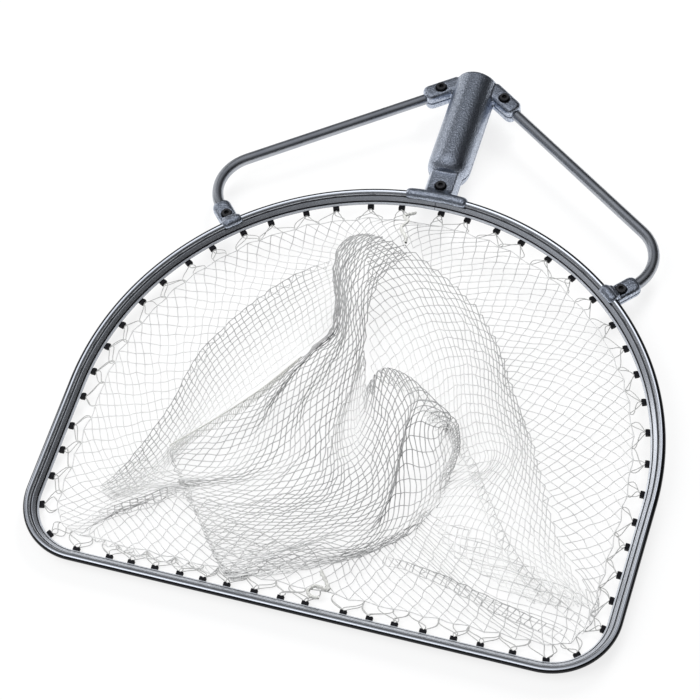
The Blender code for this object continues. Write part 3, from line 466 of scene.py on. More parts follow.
def bands(tree, value, stops, hue=METAL_HUE):
    """Greys at (place, grey) stops of a value, a little blue."""
    return ramp(tree, value, [(place, [part * grey for part in hue]) for place, grey in stops])


def mixed(tree, first, second, share, kind="MIX"):
    inputs = {0: share, 6: first, 7: second}
    return node(tree, "ShaderNodeMix", inputs, data_type="RGBA", blend_type=kind).outputs[2]


def times(tree, first, second):
    return mixed(tree, first, second, 1.0, "MULTIPLY")


def relief(tree, surface, height, distance, strength, edge_radius=0.0):
    """Bump from a height, over edges rounded to a radius."""
    bump = node(tree, "ShaderNodeBump", {"Height": height, "Distance": distance, "Strength": strength})
    if edge_radius:
        rounded = node(tree, "ShaderNodeBevel", {"Radius": edge_radius}, samples=6)
        feed(tree, bump, {"Normal": rounded.outputs["Normal"]})
    feed(tree, surface, {"Normal": bump.outputs["Normal"]})


def aluminium_finish():
    """Satin extrusion with drawing lines along the bar, with painted highlights on its edges and painted shade
    in its grooves, a little different on its front and its back.
    In its texture space u runs along the bar and v round its section, both in metres."""
    made, tree, surface = finish("satin_aluminium_look", (0.7, 0.7, 0.72), 0.2, BAR_METALLIC)
    lines = noise(tree, place_in(tree, "UV", (3, 2400, 1)), 1.0, 4.0)
    bar = place_in(tree, "UV", (1, 1 / SECTION_ROUND, 1))
    section = axis(tree, bar, "Y")
    greys = []
    for stops in (FRONT_PAINTED_LIGHT, BACK_PAINTED_LIGHT):
        greys.append(bands(tree, section, [(v / SECTION_ROUND, grey) for v, grey in stops]))
    away = maths(tree, "ABSOLUTE", axis(tree, bar, "X"))
    # Painted highlights and shade round the section, the front's stripes giving way to the back's along the
    # hoop
    painted_stripes = mixed(tree, *greys, spread(tree, away, 0, 1, FRONT_HALF, SIDE_END))
    drawn = tint(tree, lines, (0.86, 0.86, 0.87), (1.0, 1.0, 1.0))
    low, high = (v / SECTION_ROUND for v in LIP_EDGE)
    lip_metal = [
        (low - LIP_BLEND, BAR_METALLIC), (low, LIP_METALLIC),
        (high, LIP_METALLIC), (high + LIP_BLEND, BAR_METALLIC),
    ]
    feed(tree, surface, {
        "Base Color": times(tree, painted_stripes, drawn),
        "Roughness": spread(tree, noise(tree, place_in(tree), 40.0), 0.15, 0.24),
        "Metallic": bands(tree, section, lip_metal),
    })
    relief(tree, surface, lines, 0.00002, 0.4)
    return made


def rod_finish():
    made, tree, surface = finish("drawn_rod_look", (0.6, 0.61, 0.64), 0.3, 1.0)
    grain = noise(tree, place_in(tree), 900.0, 2.0)
    patches = noise(tree, place_in(tree), 45.0)
    colour = tint(tree, patches, (0.80, 0.81, 0.84), (1.0, 1.0, 1.0))
    # Painted reflection and shade: the rod lighter on its sides and underside, darker on top
    feed(tree, surface, {
        "Base Color": times(tree, bands(tree, upward(tree), ROD_PAINTED_LIGHT), colour),
        "Roughness": spread(tree, grain, 0.26, 0.40),
    })
    relief(tree, surface, grain, 0.00004, 0.6)
    return made


def casting_finish():
    """Hammertone coat: small dimples, each a little lighter or darker than the next; and painted shade that
    makes faces looking up darker.
    """
    made, tree, surface = finish("coated_casting_look", (0.7, 0.71, 0.74), 0.36, 1.0)
    where = place_in(tree)
    inputs = {"Vector": where, "Scale": 620.0, "Smoothness": 0.6}
    dimples = node(tree, "ShaderNodeTexVoronoi", inputs, feature="SMOOTH_F1").outputs["Distance"]
    specks = noise(tree, where, 900.0, 2.0)
    colour = tint(tree, specks, (0.30, 0.325, 0.37), (0.74, 0.77, 0.83), 0.36, 0.66)
    # Painted shade: faces that look up are darker
    feed(tree, surface, {
        "Base Color": times(tree, bands(tree, upward(tree), CASTING_PAINTED_SHADE), colour),
        "Roughness": spread(tree, specks, 0.40, 0.24),
    })
    relief(tree, surface, dimples, 0.0004, 0.6)
    return made


def black_finish(name, colour, roughness, metallic, edge_radius):
    made, tree, surface = finish(name, colour, roughness, metallic)
    grain = noise(tree, place_in(tree), 1400.0, 2.0)
    lighter = tuple(2.2 * part for part in colour)
    feed(tree, surface, {
        "Base Color": tint(tree, grain, colour, lighter),
        "Roughness": spread(tree, grain, roughness - 0.08, roughness + 0.1),
        "Specular IOR Level": 0.2,
    })
    relief(tree, surface, grain, 0.00006, 0.5, edge_radius)
    return made


def netting_finish(name, dark, light):
    """Twisted yarn with fine ribbing, from light to dark by the tone that each strand carries, which paints
    shade on the heap and its folds.
    """
    made, tree, surface = finish(name, light, 0.6)
    where = place_in(tree)
    drift = noise(tree, where, 26.0, 2.0)
    fibres = noise(tree, where, 2600.0, 2.0)
    carried = node(tree, "ShaderNodeAttribute", {}, attribute_name="tone").outputs["Fac"]
    tone = maths(tree, "ADD", carried, spread(tree, drift, -0.1, 0.1))
    feed(tree, surface, {
        "Base Color": tint(tree, tone, light, dark, 0.0, 1.0),
        "Roughness": spread(tree, fibres, 0.5, 0.75),
    })
    relief(tree, surface, fibres, 0.0001, 0.5)
    return made


ALUMINIUM = aluminium_finish()
ROD = rod_finish()
CASTING = casting_finish()
STEEL = black_finish("black_oxide_look", (0.03, 0.03, 0.032), 0.3, 0.8, 0.0004)
PLASTIC = black_finish("black_plastic_look", (0.004, 0.004, 0.005), 0.62, 0.0, 0.0003)
NETTING = netting_finish("netting_look", (0.40, 0.40, 0.40), (0.86, 0.86, 0.85))
LACING = netting_finish("lacing_look", (0.40, 0.40, 0.39), (0.50, 0.50, 0.49))
SEAM = netting_finish("seam_look", (0.52, 0.52, 0.50), (0.66, 0.66, 0.63))


# Shapes

def linked(name, data):
    made = bpy.data.objects.new(name, data)
    bpy.context.scene.collection.objects.link(made)
    return made


def new_object(name, mesh, material):
    mesh.materials.clear()
    mesh.materials.append(material)
    return linked(name, mesh)


def smoothed(mesh, angle):
    mesh.shade_smooth()
    mesh.set_sharp_from_angle(angle=math.radians(angle))


def finer_copy(name, material):
    """A rigid CAD node's own shape, with smooth round faces and its finish."""
    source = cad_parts[name]
    mesh = source.data.copy()
    made = new_object(name + "_finished", mesh, material)
    made.matrix_world = source.matrix_world
    smoothed(mesh, 32)
    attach(made, "head")
    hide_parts(name)
    return made


def cast_copy(name):
    """A casting's shape with its edges and corners run out soft, as a sand mould leaves them."""
    made = finer_copy(name, CASTING)
    even = made.modifiers.new("even", "REMESH")
    even.mode = "VOXEL"
    even.voxel_size = CAST_GRAIN
    even.use_smooth_shade = True
    soft = made.modifiers.new("soft", "SMOOTH")
    soft.factor = 0.5
    soft.iterations = CAST_SOFTENING


def rod_copy(name):
    """A brace rod, with every point moved out a little from the CAD shape."""
    mesh = finer_copy(name, ROD).data
    bm = bmesh.new()
    bm.from_mesh(mesh)
    bmesh.ops.remove_doubles(bm, verts=bm.verts, dist=1e-5)
    bm.normal_update()
    for vert in bm.verts:
        vert.co += vert.normal * ROD_EXTRA
    bm.to_mesh(mesh)
    bm.free()
    if "custom_normal" in mesh.attributes:
        mesh.attributes.remove(mesh.attributes["custom_normal"])
    smoothed(mesh, 60)


def hoop_section():
    """The hoop's outline as (out, up), with a second groove above the lip."""
    half = FLANGE_THICKNESS / 2
    neck = half - NECK_GROOVE
    shelf = BEAD_RADIUS + NECK_GROOVE
    lip = FLANGE_REACH - LIP_DEPTH
    back = lip - TRACK_DEPTH
    edge = LIP_DEPTH / 2
    round_in = 0.0004
    meet = math.asin(neck / BEAD_RADIUS)
    inward = math.pi + FLANGE_SLOPE
    turns = np.linspace(inward + meet, inward + 2 * math.pi - meet, 33)
    bead = [(BEAD_RADIUS * math.cos(turn), BEAD_RADIUS * math.sin(turn)) for turn in turns]
    upper = [
        (shelf, half - round_in), (shelf + round_in, half),
        (LIP_GROOVE_START, half), (LIP_GROOVE_START + round_in, half - LIP_GROOVE_DEPTH),
        (LIP_GROOVE_END - round_in, half - LIP_GROOVE_DEPTH), (LIP_GROOVE_END, half),
        (FLANGE_REACH - edge, half), (FLANGE_REACH - edge / 3, half - edge / 3),
        (FLANGE_REACH, half - edge), (FLANGE_REACH, SLOT_HEIGHT / 2),
        (lip, SLOT_HEIGHT / 2), (lip, TRACK_HEIGHT / 2), (back, TRACK_HEIGHT / 2),
    ]
    lower = [
        (back, -TRACK_HEIGHT / 2), (lip, -TRACK_HEIGHT / 2), (lip, -SLOT_HEIGHT / 2),
        (FLANGE_REACH, -SLOT_HEIGHT / 2), (FLANGE_REACH, edge - half),
        (FLANGE_REACH - edge / 3, edge / 3 - half), (FLANGE_REACH - edge, -half),
        (shelf + round_in, -half), (shelf, round_in - half),
    ]
    return bead + [flange_point(along, above) for along, above in upper + lower]


def hoop_places():
    """Distances along the hoop that need a section, closer together on its bends."""
    right = [
        *np.linspace(0, FRONT_HALF, 12, endpoint=False),
        *np.linspace(FRONT_HALF, CORNER_END, 24, endpoint=False),
        *np.linspace(CORNER_END, SIDE_END, 8, endpoint=False),
        *np.linspace(SIDE_END, HALF_LENGTH - BUTT_GAP / 2, 90),
    ]
    return [-s for s in reversed(right[1:])] + right


def make_hoop():
    section = hoop_section()
    count = len(section)
    steps = np.diff(np.array(section + section[:1]), axis=0)
    rounds = np.concatenate([[0], np.cumsum(np.linalg.norm(steps, axis=1))])
    places = hoop_places()
    points = [near_hoop(s, out, up) for s in places for out, up in section]
    faces = []
    marks = []
    for k in range(len(places) - 1):
        for i in range(count):
            n = (i + 1) % count
            faces.append((k * count + i, (k + 1) * count + i, (k + 1) * count + n, k * count + n))
            near, far = places[k], places[k + 1]
            marks += [(near, rounds[i]), (far, rounds[i]), (far, rounds[i + 1]), (near, rounds[i + 1])]
    last = (len(places) - 1) * count
    caps = [tuple(range(count)), tuple(last + i for i in reversed(range(count)))]
    mesh = bpy.data.meshes.new("hoop_finished")
    mesh.from_pydata(points, [], faces + caps)
    layer = mesh.uv_layers.new(name="bar")
    for loop, mark in zip(layer.data, marks):
        loop.uv = mark
    mesh.update()
    smoothed(mesh, 40)
    made = new_object("hoop_finished", mesh, ALUMINIUM)
    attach(made, "head")
    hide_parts("hoop")


def mesh_of(bm, name):
    mesh = bpy.data.meshes.new(name)
    bm.to_mesh(mesh)
    bm.free()
    smoothed(mesh, 40)
    return mesh


def clip_mesh():
    """One clip about its place on the bead: shoe in the track, neck, and a body with a notch for the net."""
    lip = FLANGE_REACH - LIP_DEPTH
    shoe = TRACK_HEIGHT / 2 - CLEARANCE
    neck = SLOT_HEIGHT / 2 - CLEARANCE
    shoe_front = lip - CLEARANCE
    shoe_back = lip - TRACK_DEPTH + CLEARANCE
    mouth = FLANGE_REACH + CLEARANCE
    in_track = [
        (shoe_front, neck), (shoe_front, shoe), (shoe_back, shoe), (shoe_back, -shoe),
        (shoe_front, -shoe), (shoe_front, -neck), (mouth, -neck),
    ]
    bm = bmesh.new()
    rings = []
    for x, notch in ((-CLIP_LENGTH / 2, 0), (-CLIP_NOTCH_HALF, 0), (-CLIP_NOTCH_HALF, 1),
                     (CLIP_NOTCH_HALF, 1), (CLIP_NOTCH_HALF, 0), (CLIP_LENGTH / 2, 0)):
        inner = CLIP_IN + notch * CLIP_NOTCH_DEPTH
        outline = [flange_point(*place) for place in in_track]
        outline += [
            (CLIP_OUT - FLANGE_THICKNESS / 4, CLIP_LOW), (inner, CLIP_LOW), (inner, CLIP_LOW + CLIP_HEIGHT),
            (CLIP_OUT - FLANGE_THICKNESS / 2, CLIP_LOW + CLIP_HEIGHT), flange_point(mouth, neck),
        ]
        rings.append([bm.verts.new((x, -out, up)) for out, up in outline])
    for near, far in zip(rings, rings[1:]):
        for i in range(len(near)):
            n = (i + 1) % len(near)
            corners = [near[i], near[n], far[n], far[i]]
            if len({tuple(corner.co) for corner in corners}) == 4:
                bm.faces.new(corners)
    bm.faces.new(rings[0])
    bm.faces.new(reversed(rings[-1]))
    bmesh.ops.remove_doubles(bm, verts=bm.verts, dist=1e-6)
    bmesh.ops.recalc_face_normals(bm, faces=bm.faces)
    bmesh.ops.bevel(bm, geom=bm.edges, offset=CLIP_ROUNDING, segments=2, affect="EDGES", clamp_overlap=True)
    return mesh_of(bm, "clip")


def clip_places():
    """(distance along the hoop, CAD node or None) for every clip."""
    found = []
    for number, share in enumerate(FRONT_CLIP_SHARES, 1):
        found.append((share * FRONT_HALF, f"front_clip_{number:02d}"))
    for kind, sign, shares in (("left", -1, LEFT_CLIP_SHARES), ("right", 1, RIGHT_CLIP_SHARES)):
        for number, share in enumerate(shares, 1):
            found.append((sign * (1 - share) * HALF_LENGTH, f"{kind}_clip_{number:02d}"))
    for sign, shares in ((-1, LEFT_EXTRA_SHARES), (1, RIGHT_EXTRA_SHARES)):
        found += [(sign * (1 - share) * HALF_LENGTH, None) for share in shares]
    return found


def make_clips():
    pattern = clip_mesh()
    extra = bmesh.new()
    for s, name in clip_places():
        point, heading = on_hoop(s)
        place = REST @ Matrix.Translation(point) @ Matrix.Rotation(heading, 4, "Z")
        mesh = pattern.copy()
        mesh.transform(place)
        if name is None:
            extra.from_mesh(mesh)
            continue
        made = new_object(name + "_finished", mesh, PLASTIC)
        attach(made, name)
        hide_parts(name)
    made = new_object("clips_between", mesh_of(extra, "clips_between"), PLASTIC)
    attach(made, "head")


# Net

def through(guides, places):
    """A smooth curve through guide points, read at fractional places along them."""
    padded = np.concatenate([2 * guides[:1] - guides[1:2], guides, 2 * guides[-1:] - guides[-2:-1]])
    start = np.clip(np.floor(places).astype(int), 0, len(guides) - 2)
    w = (places - start).reshape((-1,) + (1,) * (guides.ndim - 1))
    p0, p1, p2, p3 = (padded[start + k] for k in range(4))
    square = (2 * p0 - 5 * p1 + 4 * p2 - p3) * w**2
    cube = (3 * p1 - p0 - 3 * p2 + p3) * w**3
    return 0.5 * (2 * p1 + (p2 - p0) * w + square + cube)


def round_through(guides, places):
    """The same round a closed ring of guides."""
    ring = np.concatenate([guides[-2:], guides, guides[:3]])
    return through(ring, places + 2)


def even_steps(curve, count=None, step=None):
    """Points along a fine curve at even steps: a count of them over its whole length, or one every step."""
    run = np.concatenate([[0], np.cumsum(np.linalg.norm(np.diff(curve, axis=0), axis=1))])
    marks = np.linspace(0, run[-1], count + 1) if count else np.arange(0, run[-1], step)
    return np.stack([np.interp(marks, run, curve[:, k]) for k in range(3)], axis=-1)


def slow_wave():
    """How fast a wave turns along each axis, where it starts, and which way it sways."""
    pace = chance.uniform(*WAVE_PACE, 3) * chance.choice((-1, 1), 3)
    start = chance.uniform(0, 6.28)
    return pace, start, chance.normal(0, 1, 3)


WAVES = [slow_wave() for _ in range(WAVE_COUNT)]


def rippled(points, size, stray):
    """Netting never lies quite true: slow waves of a size, and each knot a little astray."""
    shift = sum(np.sin(points @ pace + start)[:, None] * sway for pace, start, sway in WAVES) / len(WAVES)
    moved = points + size * shift + chance.normal(0, stray, points.shape)
    moved[:, 2] = np.maximum(moved[:, 2], KNOT_LOWEST)
    return moved


class Strands:
    """Tubes along many lines, gathered into one mesh."""

    def __init__(self, sides=STRAND_SIDES):
        self.sides = sides
        self.points = []
        self.faces = []
        self.tones = []
        self.count = 0

    def add(self, line, radius, closed=False, tone=0.0):
        """radius and tone are one number, or one for each point."""
        line = np.asarray(line)
        radius, tone = (np.broadcast_to(np.asarray(part, float), (len(line),)) for part in (radius, tone))
        if closed:
            line, radius, tone = (np.concatenate([part, part[:1]]) for part in (line, radius, tone))
        ahead = np.gradient(line, axis=0)
        if closed:
            ahead[0] = ahead[-1] = line[1] - line[-2]
        ahead /= np.linalg.norm(ahead, axis=1)[:, None]
        level = np.abs(ahead[:, 2:]) < 0.95
        across = np.cross(ahead, np.where(level, (0, 0, 1), (1, 0, 0)))
        across /= np.linalg.norm(across, axis=1)[:, None]
        over = np.cross(across, ahead)
        turns = np.arange(self.sides) / self.sides * 2 * math.pi
        ring = across[:, None] * np.cos(turns)[None, :, None] + over[:, None] * np.sin(turns)[None, :, None]
        self.points.append((line[:, None] + ring * radius[:, None, None]).reshape(-1, 3))
        near = np.arange(len(line) - 1)[:, None] * self.sides + np.arange(self.sides)
        far = near + self.sides
        turned = np.roll(np.arange(self.sides), -1)
        quads = np.stack([near, near[:, turned], far[:, turned], far], axis=-1).reshape(-1, 4)
        self.faces.append(quads + self.count)
        self.tones.append(np.repeat(tone, self.sides))
        self.count += len(line) * self.sides

    def net_strand(self, knots, tones, radius=STRAND_RADIUS, closed=False):
        """A strand through knots, thicker at each and a little bowed between. One tone, or one a knot."""
        count = len(knots)
        if count < 2:
            return
        read = round_through if closed else through
        places = np.arange(0, count - (0 if closed else 0.5), 0.5)
        line = read(knots, places) if count > 2 or closed else np.array([knots[0], knots.mean(0), knots[1]])
        line[1::2] += chance.normal(0, STRAND_STRAY, line[1::2].shape)
        line[:, 2] = np.maximum(line[:, 2], radius)
        thick = np.full(len(line), radius)
        thick[::2] *= KNOT_SWELL
        tones = np.broadcast_to(tones, (count,))
        period = count if closed else None
        self.add(line, thick, closed, np.interp(places, np.arange(count), tones, period=period))

    def build(self, name, material, body="head"):
        mesh = bpy.data.meshes.new(name)
        mesh.from_pydata(np.concatenate(self.points), [], np.concatenate(self.faces))
        mesh.attributes.new("tone", "FLOAT", "POINT").data.foreach_set("value", np.concatenate(self.tones))
        mesh.shade_smooth()
        made = new_object(name, mesh, material)
        if body:
            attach(made, body)
        return made


def edge_place(s):
    """Where the net's edge hangs beside the hoop: pulled out by the nearest clip, slack between clips."""
    gap = min(abs(s - place) for place in CLIP_RUN)
    share = min(1.0, max(0.0, (abs(s) - FRONT_HALF) / (CORNER_END - FRONT_HALF)))
    out = FRONT_EDGE_OFFSET + (EDGE_OFFSET - FRONT_EDGE_OFFSET) * share
    pull = EDGE_PULL * math.exp(-((gap / EDGE_PULL_STRETCH) ** 2))
    return near_hoop(s, out + pull - EDGE_SLACK, EDGE_DROP)


def hoop_run(turn):
    """Distance along the hoop at a share of one turn, leftwards from the back's middle."""
    return (turn % 1.0) * 2 * HALF_LENGTH - HALF_LENGTH


CLIP_RUN = [s for s, _ in clip_places()]


def skirt_knots():
    """Knot places of the skirt on each of its meridians, inward from the net's edge to where the heap hides
    them, or to the crest of a fold."""
    guides = np.array(SKIRT_GUIDES) / 1000
    stations = np.arange(MERIDIANS) / MERIDIANS * len(guides)
    inner = round_through(guides, stations)
    meridians = []
    for station, guide in zip(stations, inner):
        edge = edge_place(hoop_run(station / len(guides)))
        on_fold = station >= FOLD_STATIONS[0] or station <= FOLD_STATIONS[1]
        last = FOLD_CREST if on_fold else len(guide)
        curve = through(np.concatenate([[edge], guide]), np.linspace(0, last, 300))
        knots = even_steps(curve, step=HALF_MESH)
        moved = rippled(knots, *SKIRT_RIPPLE)
        ease = np.minimum(1, np.arange(len(knots)) / 3)[:, None]
        meridians.append(knots + (moved - knots) * ease)
    return meridians


def make_skirt():
    """Netting hung by every second knot of its edge, so that its strands run in on the slant, both ways."""
    meridians = skirt_knots()
    skirt = Strands()
    for way in (1, -1):
        for first in range(0, MERIDIANS, 2):
            run = []
            for ring in range(max(len(knots) for knots in meridians)):
                knots = meridians[(first + way * ring) % MERIDIANS]
                if ring < len(knots):
                    run.append(knots[ring])
                else:
                    skirt.net_strand(np.array(run), SKIRT_TONE)
                    run = []
            skirt.net_strand(np.array(run), SKIRT_TONE)
    edge = np.array([knots[0] for knots in meridians[::2]])
    skirt.net_strand(edge, SKIRT_TONE, LACING_RADIUS, closed=True)
    made = skirt.build("net_skirt", NETTING)
    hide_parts("net_bag")


def make_folds():
    """Where a fold turns over, its cells stand edge on as a ladder, with painted shade dark at the crest,
    fading inward.
    """
    folds = Strands()
    for guides, counts, rungs, darkest_shade in zip(FOLD_GUIDES, FOLD_ROWS, FOLD_RUNGS, FOLD_SHADE):
        grid = heap_grid(guides, counts, rungs)
        grid = rippled(grid.reshape(-1, 3), *FOLD_RIPPLE).reshape(grid.shape)
        ends = np.minimum(np.arange(rungs + 1), np.arange(rungs, -1, -1)) / 4
        fade = 1 - np.arange(len(grid)) / len(grid)
        tones = darkest_shade * np.minimum(1, ends) * fade[:, None]
        for rail, tone in zip(grid, tones):
            folds.net_strand(rail, tone)
        for rung in range(rungs + 1):
            folds.net_strand(grid[:, rung], tones[:, rung])
    folds.build("net_folds", NETTING)


def rolled(edge, inner):
    """Guide points beyond an edge: a row that turns down, and one tucked in beneath."""
    out = edge - inner
    out[:, 2] = 0
    out /= np.linalg.norm(out, axis=1)[:, None]
    turn = edge + out * ROLL_OUT
    turn[:, 2] = ROLL_TURN[0] * edge[:, 2] + ROLL_TURN[1]
    under = edge - out * ROLL_IN
    under[:, 2] = ROLL_UNDER[0] * edge[:, 2] + ROLL_UNDER[1]
    return turn[:, None], under[:, None]


def heap_grid(guides, counts, columns, roll_first=False, roll_last=False):
    """Lattice over part of the heap: a count of rows between guide rows, and even steps along each row."""
    patch = np.array(guides) / 1000
    if roll_first:
        turn, under = rolled(patch[:, 0], patch[:, 1])
        patch = np.concatenate([under, turn, patch], axis=1)
    if roll_last:
        turn, under = rolled(patch[:, -1], patch[:, -2])
        patch = np.concatenate([patch, turn, under], axis=1)
    stretches = [k + np.arange(count) / count for k, count in enumerate(counts)]
    lines = through(patch, np.concatenate([*stretches, [len(counts)]]))
    fine = np.linspace(0, patch.shape[1] - 1, 400)
    return np.array([even_steps(through(line, fine), count=columns) for line in lines])


def make_heap(name, grid, tones, radius=HEAP_STRAND_RADIUS):
    """Netting drawn out into long diamonds: its strands cross the lattice on the slant, both ways."""
    rows, columns = grid.shape[0] - 1, grid.shape[1] - 1
    grid = rippled(grid.reshape(-1, 3), *HEAP_RIPPLE).reshape(grid.shape)
    heap = Strands()
    for way in (1, -1):
        starts = [(0, i) for i in range(columns + 1)]
        starts += [(j, 0 if way > 0 else columns) for j in range(1, rows + 1)]
        for j, i in starts:
            if (i + j) % 2 == 0:
                steps = np.arange(1 + min(rows - j, columns - i if way > 0 else i))
                run = (j + steps, i + way * steps)
                heap.net_strand(grid[run], tones[run], radius)
    heap.build(name, NETTING)


def heap_painted_shade(grid):
    """Painted shade: darker the higher it lies."""
    return np.clip(grid[:, :, 2] / HEAP_HIGH, 0, 1)


def make_heaps():
    body = heap_grid(BODY_GUIDES, BODY_ROWS, BODY_COLUMNS, roll_first=True, roll_last=True)
    make_heap("net_body", body, heap_painted_shade(body))
    flap = heap_grid(FLAP_GUIDES, FLAP_ROWS, FLAP_COLUMNS, roll_first=True)
    make_heap("net_flap", flap, heap_painted_shade(flap))
    sail = heap_grid(SAIL_GUIDES, SAIL_ROWS, SAIL_COLUMNS)
    # Painted shade along the fold's crest, fading inward and towards its lower end
    fade = np.linspace(1, 0, len(sail))[:, None]
    ends = np.clip(np.linspace(2.0, 0.1, sail.shape[1]), 0, 1)
    make_heap("net_sail", sail, fade * ends, STRAND_RADIUS)


def make_selvedge():
    """The flap's bound edge: a thick cord, and under it a row of herringbone."""
    rows = through(np.array(FLAP_GUIDES) / 1000, np.array([0.0, SELVEDGE_ROWS]))
    fine = np.linspace(0, SELVEDGE_COLUMNS, 200)
    cord, below = (through(row, fine) + (0, 0, SELVEDGE_LIFT) for row in rows)
    bound = Strands(sides=6)
    bound.add(cord, SELVEDGE_RADIUS)
    for shift in (0, HERRINGBONE_STEP // 2):
        marks = np.arange(shift, len(fine) - HERRINGBONE_STEP, HERRINGBONE_STEP)
        zigzag = np.stack([cord[marks], below[marks + HERRINGBONE_STEP // 2]], axis=1)
        bound.add(zigzag.reshape(-1, 3), STRAND_RADIUS)
    bound.build("net_selvedge", SEAM)


def arc_between(start, lead, pull, end):
    """A smooth arc that leaves one point towards a second and reaches the last from a third."""
    t = np.linspace(0, 1, 14)[:, None]
    return (1 - t) ** 3 * start + 3 * (1 - t) ** 2 * t * lead + 3 * (1 - t) * t**2 * pull + t**3 * end


def lacing_line(s, loose):
    """A yarn at one clip: up from a knot of the net's edge, through the notch, and down again."""
    spacing = 4 * HALF_LENGTH / MERIDIANS
    notch = near_hoop(s, CLIP_IN + 0.6 * CLIP_NOTCH_DEPTH, CLIP_LOW + CLIP_HEIGHT / 2)
    halves = []
    for side in (-1, 1):
        reach = LACING_REACH * chance.uniform(*(SLACK_REACH if loose else TIGHT_REACH))
        knot = round((s + side * reach + HALF_LENGTH) / spacing) * spacing - HALF_LENGTH
        start = edge_place(knot)
        if loose:
            # A slack yarn leaves the clip on one side and swings round to the other
            swing = side * chance.choice((-1, 1)) * chance.uniform(*SLACK_SWING)
            lead = near_hoop(knot, CLIP_IN - 0.006, CLIP_LOW, side * chance.uniform(*SLACK_LEAN))
            pull = near_hoop(s, CLIP_IN - chance.uniform(*SLACK_DIP), CLIP_LOW + 0.002, swing)
        else:
            # A tighter one runs straight on one side and bows out on the other
            bow = chance.uniform(*TIGHT_BOW) * (side > 0)
            lead = start + 0.35 * (notch - start) + (0, 0, -0.002)
            pull = near_hoop(s, CLIP_IN - 0.4 * LACING_REACH, CLIP_LOW, side * (0.4 * reach + bow))
        halves.append(arc_between(start, lead, pull, notch))
    line = np.concatenate([halves[0], halves[1][-2::-1]])
    line[:, 2] = np.maximum(line[:, 2], LACING_LOWEST)
    return line


def make_lacing():
    between = Strands()
    for s, name in clip_places():
        loose = abs(s) < FRONT_HALF or -SLACK_LEFT * HALF_LENGTH < s < 0
        yarns = [lacing_line(s, loose), lacing_line(s, True)]
        loop = Strands() if name else between
        for line in yarns:
            loop.add(line, LACING_RADIUS)
        if name is None:
            continue
        made = loop.build(name.replace("clip", "lacing"), LACING, body=None)
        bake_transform(made)
    between.build("lacing_between", LACING)


def make_seams():
    seams = Strands(sides=6)
    for guides in SEAM_GUIDES:
        guides = np.array(guides) / 1000
        line = through(guides, np.linspace(0, len(guides) - 1, 14 * len(guides)))
        line += SEAM_STRAY * np.sin(np.arange(len(line)) * 1.7)[:, None]
        seams.add(line, SEAM_RADIUS * (1 + 0.12 * np.sin(np.arange(len(line)) * 2.4)))
    seams.build("net_seams", SEAM)


# Studio

def show(tree, first, second, share, output):
    """Sends two shaders, mixed by a share, to an output node."""
    mix = node(tree, "ShaderNodeMixShader", {0: share, 1: first.outputs[0], 2: second.outputs[0]})
    feed(tree, tree.nodes[output], {"Surface": mix.outputs[0]})


def make_floor():
    """Pale paper, with a share of plain white for camera and mirror rays only."""
    made = bpy.data.materials.new("studio_floor")
    made.use_nodes = True
    tree = made.node_tree
    tree.nodes.remove(tree.nodes["Principled BSDF"])
    paper = node(tree, "ShaderNodeBsdfDiffuse", {"Color": (FLOOR_GREY, FLOOR_GREY, FLOOR_GREY, 1)})
    white = node(tree, "ShaderNodeEmission", {"Color": WHITE, "Strength": 1.0})
    far = node(tree, "ShaderNodeVectorMath", {0: place_in(tree)}, operation="LENGTH").outputs["Value"]
    rays = tree.nodes.new("ShaderNodeLightPath").outputs
    seen = maths(tree, "MAXIMUM", rays["Is Camera Ray"], rays["Is Glossy Ray"])
    share = maths(tree, "MULTIPLY", seen, spread(tree, far, *FLOOR_WHITE, *FLOOR_FADE))
    show(tree, paper, white, share, "Material Output")
    mesh = bpy.data.meshes.new("floor")
    corners = [(x * FLOOR_HALF, y * FLOOR_HALF, 0) for x, y in ((-1, -1), (1, -1), (1, 1), (-1, 1))]
    mesh.from_pydata(corners, [], [(0, 1, 2, 3)])
    new_object("floor", mesh, made)


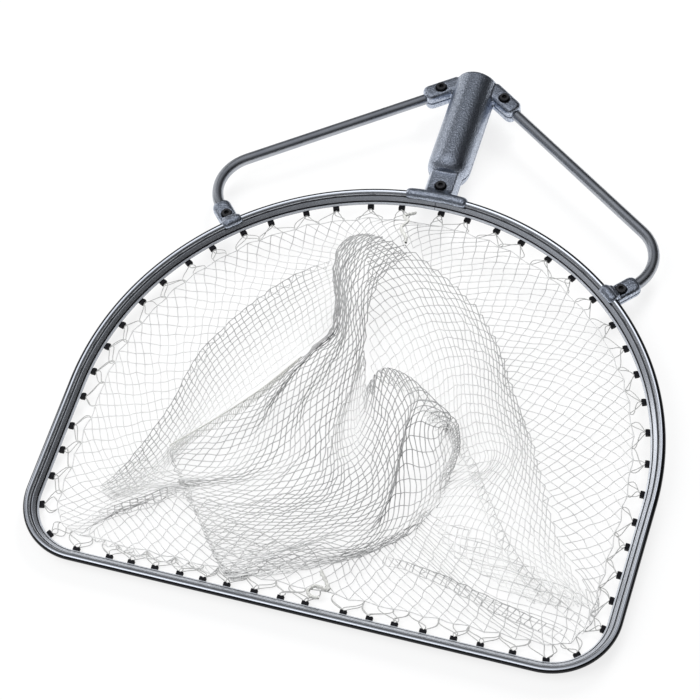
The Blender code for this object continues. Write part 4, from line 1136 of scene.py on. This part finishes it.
def make_world():
    """White to the camera; for light and reflections bright overhead, dark low down and on the right."""
    world = bpy.data.worlds.new("studio")
    world.use_nodes = True
    tree = world.node_tree
    direction = tree.nodes.new("ShaderNodeTexCoord").outputs["Generated"]
    height = axis(tree, direction, "Z")
    raised = spread(tree, height, 0, 1, 0, SKY_LEAN_HEIGHT)
    sideways = maths(tree, "MULTIPLY", raised, axis(tree, direction, "X"))
    lean = maths(tree, "MULTIPLY_ADD", sideways, -SKY_LEAN, 1.0)
    sky = feed(tree, tree.nodes["Background"], {
        "Color": bands(tree, height, SKY_LEVELS, SKY_HUE),
        "Strength": maths(tree, "MAXIMUM", lean, SKY_LEAST),
    })
    white = node(tree, "ShaderNodeBackground", {"Color": WHITE, "Strength": 1.0})
    rays = tree.nodes.new("ShaderNodeLightPath").outputs
    show(tree, sky, white, rays["Is Camera Ray"], "World Output")
    bpy.context.scene.world = world


def make_lamp(name, place, size, power, mirrored):
    lamp = bpy.data.lights.new(name, "AREA")
    lamp.shape = "DISK"
    lamp.size = size
    lamp.energy = power
    made = linked(name, lamp)
    made.location = place
    made.rotation_euler = (-Vector(place)).to_track_quat("-Z", "Y").to_euler()
    made.visible_glossy = mirrored


def make_camera():
    camera = bpy.data.cameras.new("camera")
    camera.sensor_width = CAMERA_SENSOR
    camera.lens = CAMERA_LENS
    made = linked("camera", camera)
    level = math.cos(CAMERA_HEIGHT)
    towards = Vector((
        math.sin(CAMERA_BEARING) * level, -math.cos(CAMERA_BEARING) * level, math.sin(CAMERA_HEIGHT)
    ))
    made.location = CAMERA_TARGET + towards * CAMERA_DISTANCE
    turn = Matrix.Rotation(CAMERA_BEARING, 4, "Z") @ Matrix.Rotation(math.pi / 2 - CAMERA_HEIGHT, 4, "X")
    made.rotation_euler = (turn @ Matrix.Rotation(CAMERA_LEAN, 4, "Z")).to_euler()
    bpy.context.scene.camera = made


def main():
    make_hoop()
    make_clips()
    for place in ("bracket", "left_clamp", "right_clamp"):
        cast_copy(place + "_upper")
        cast_copy(place + "_lower")
    for side in ("left", "right"):
        rod_copy(side + "_brace_rod")
    for place in ("tongue", "left_ear", "right_ear", "left_clamp", "right_clamp"):
        finer_copy(place + "_screw", STEEL)
        finer_copy(place + "_nut", STEEL)
    make_skirt()
    make_folds()
    make_heaps()
    make_selvedge()
    make_lacing()
    make_seams()
    make_floor()
    make_world()
    for name, values in LAMPS.items():
        make_lamp(name, *values)
    make_camera()
    bpy.context.scene.view_settings.view_transform = "Standard"


main()
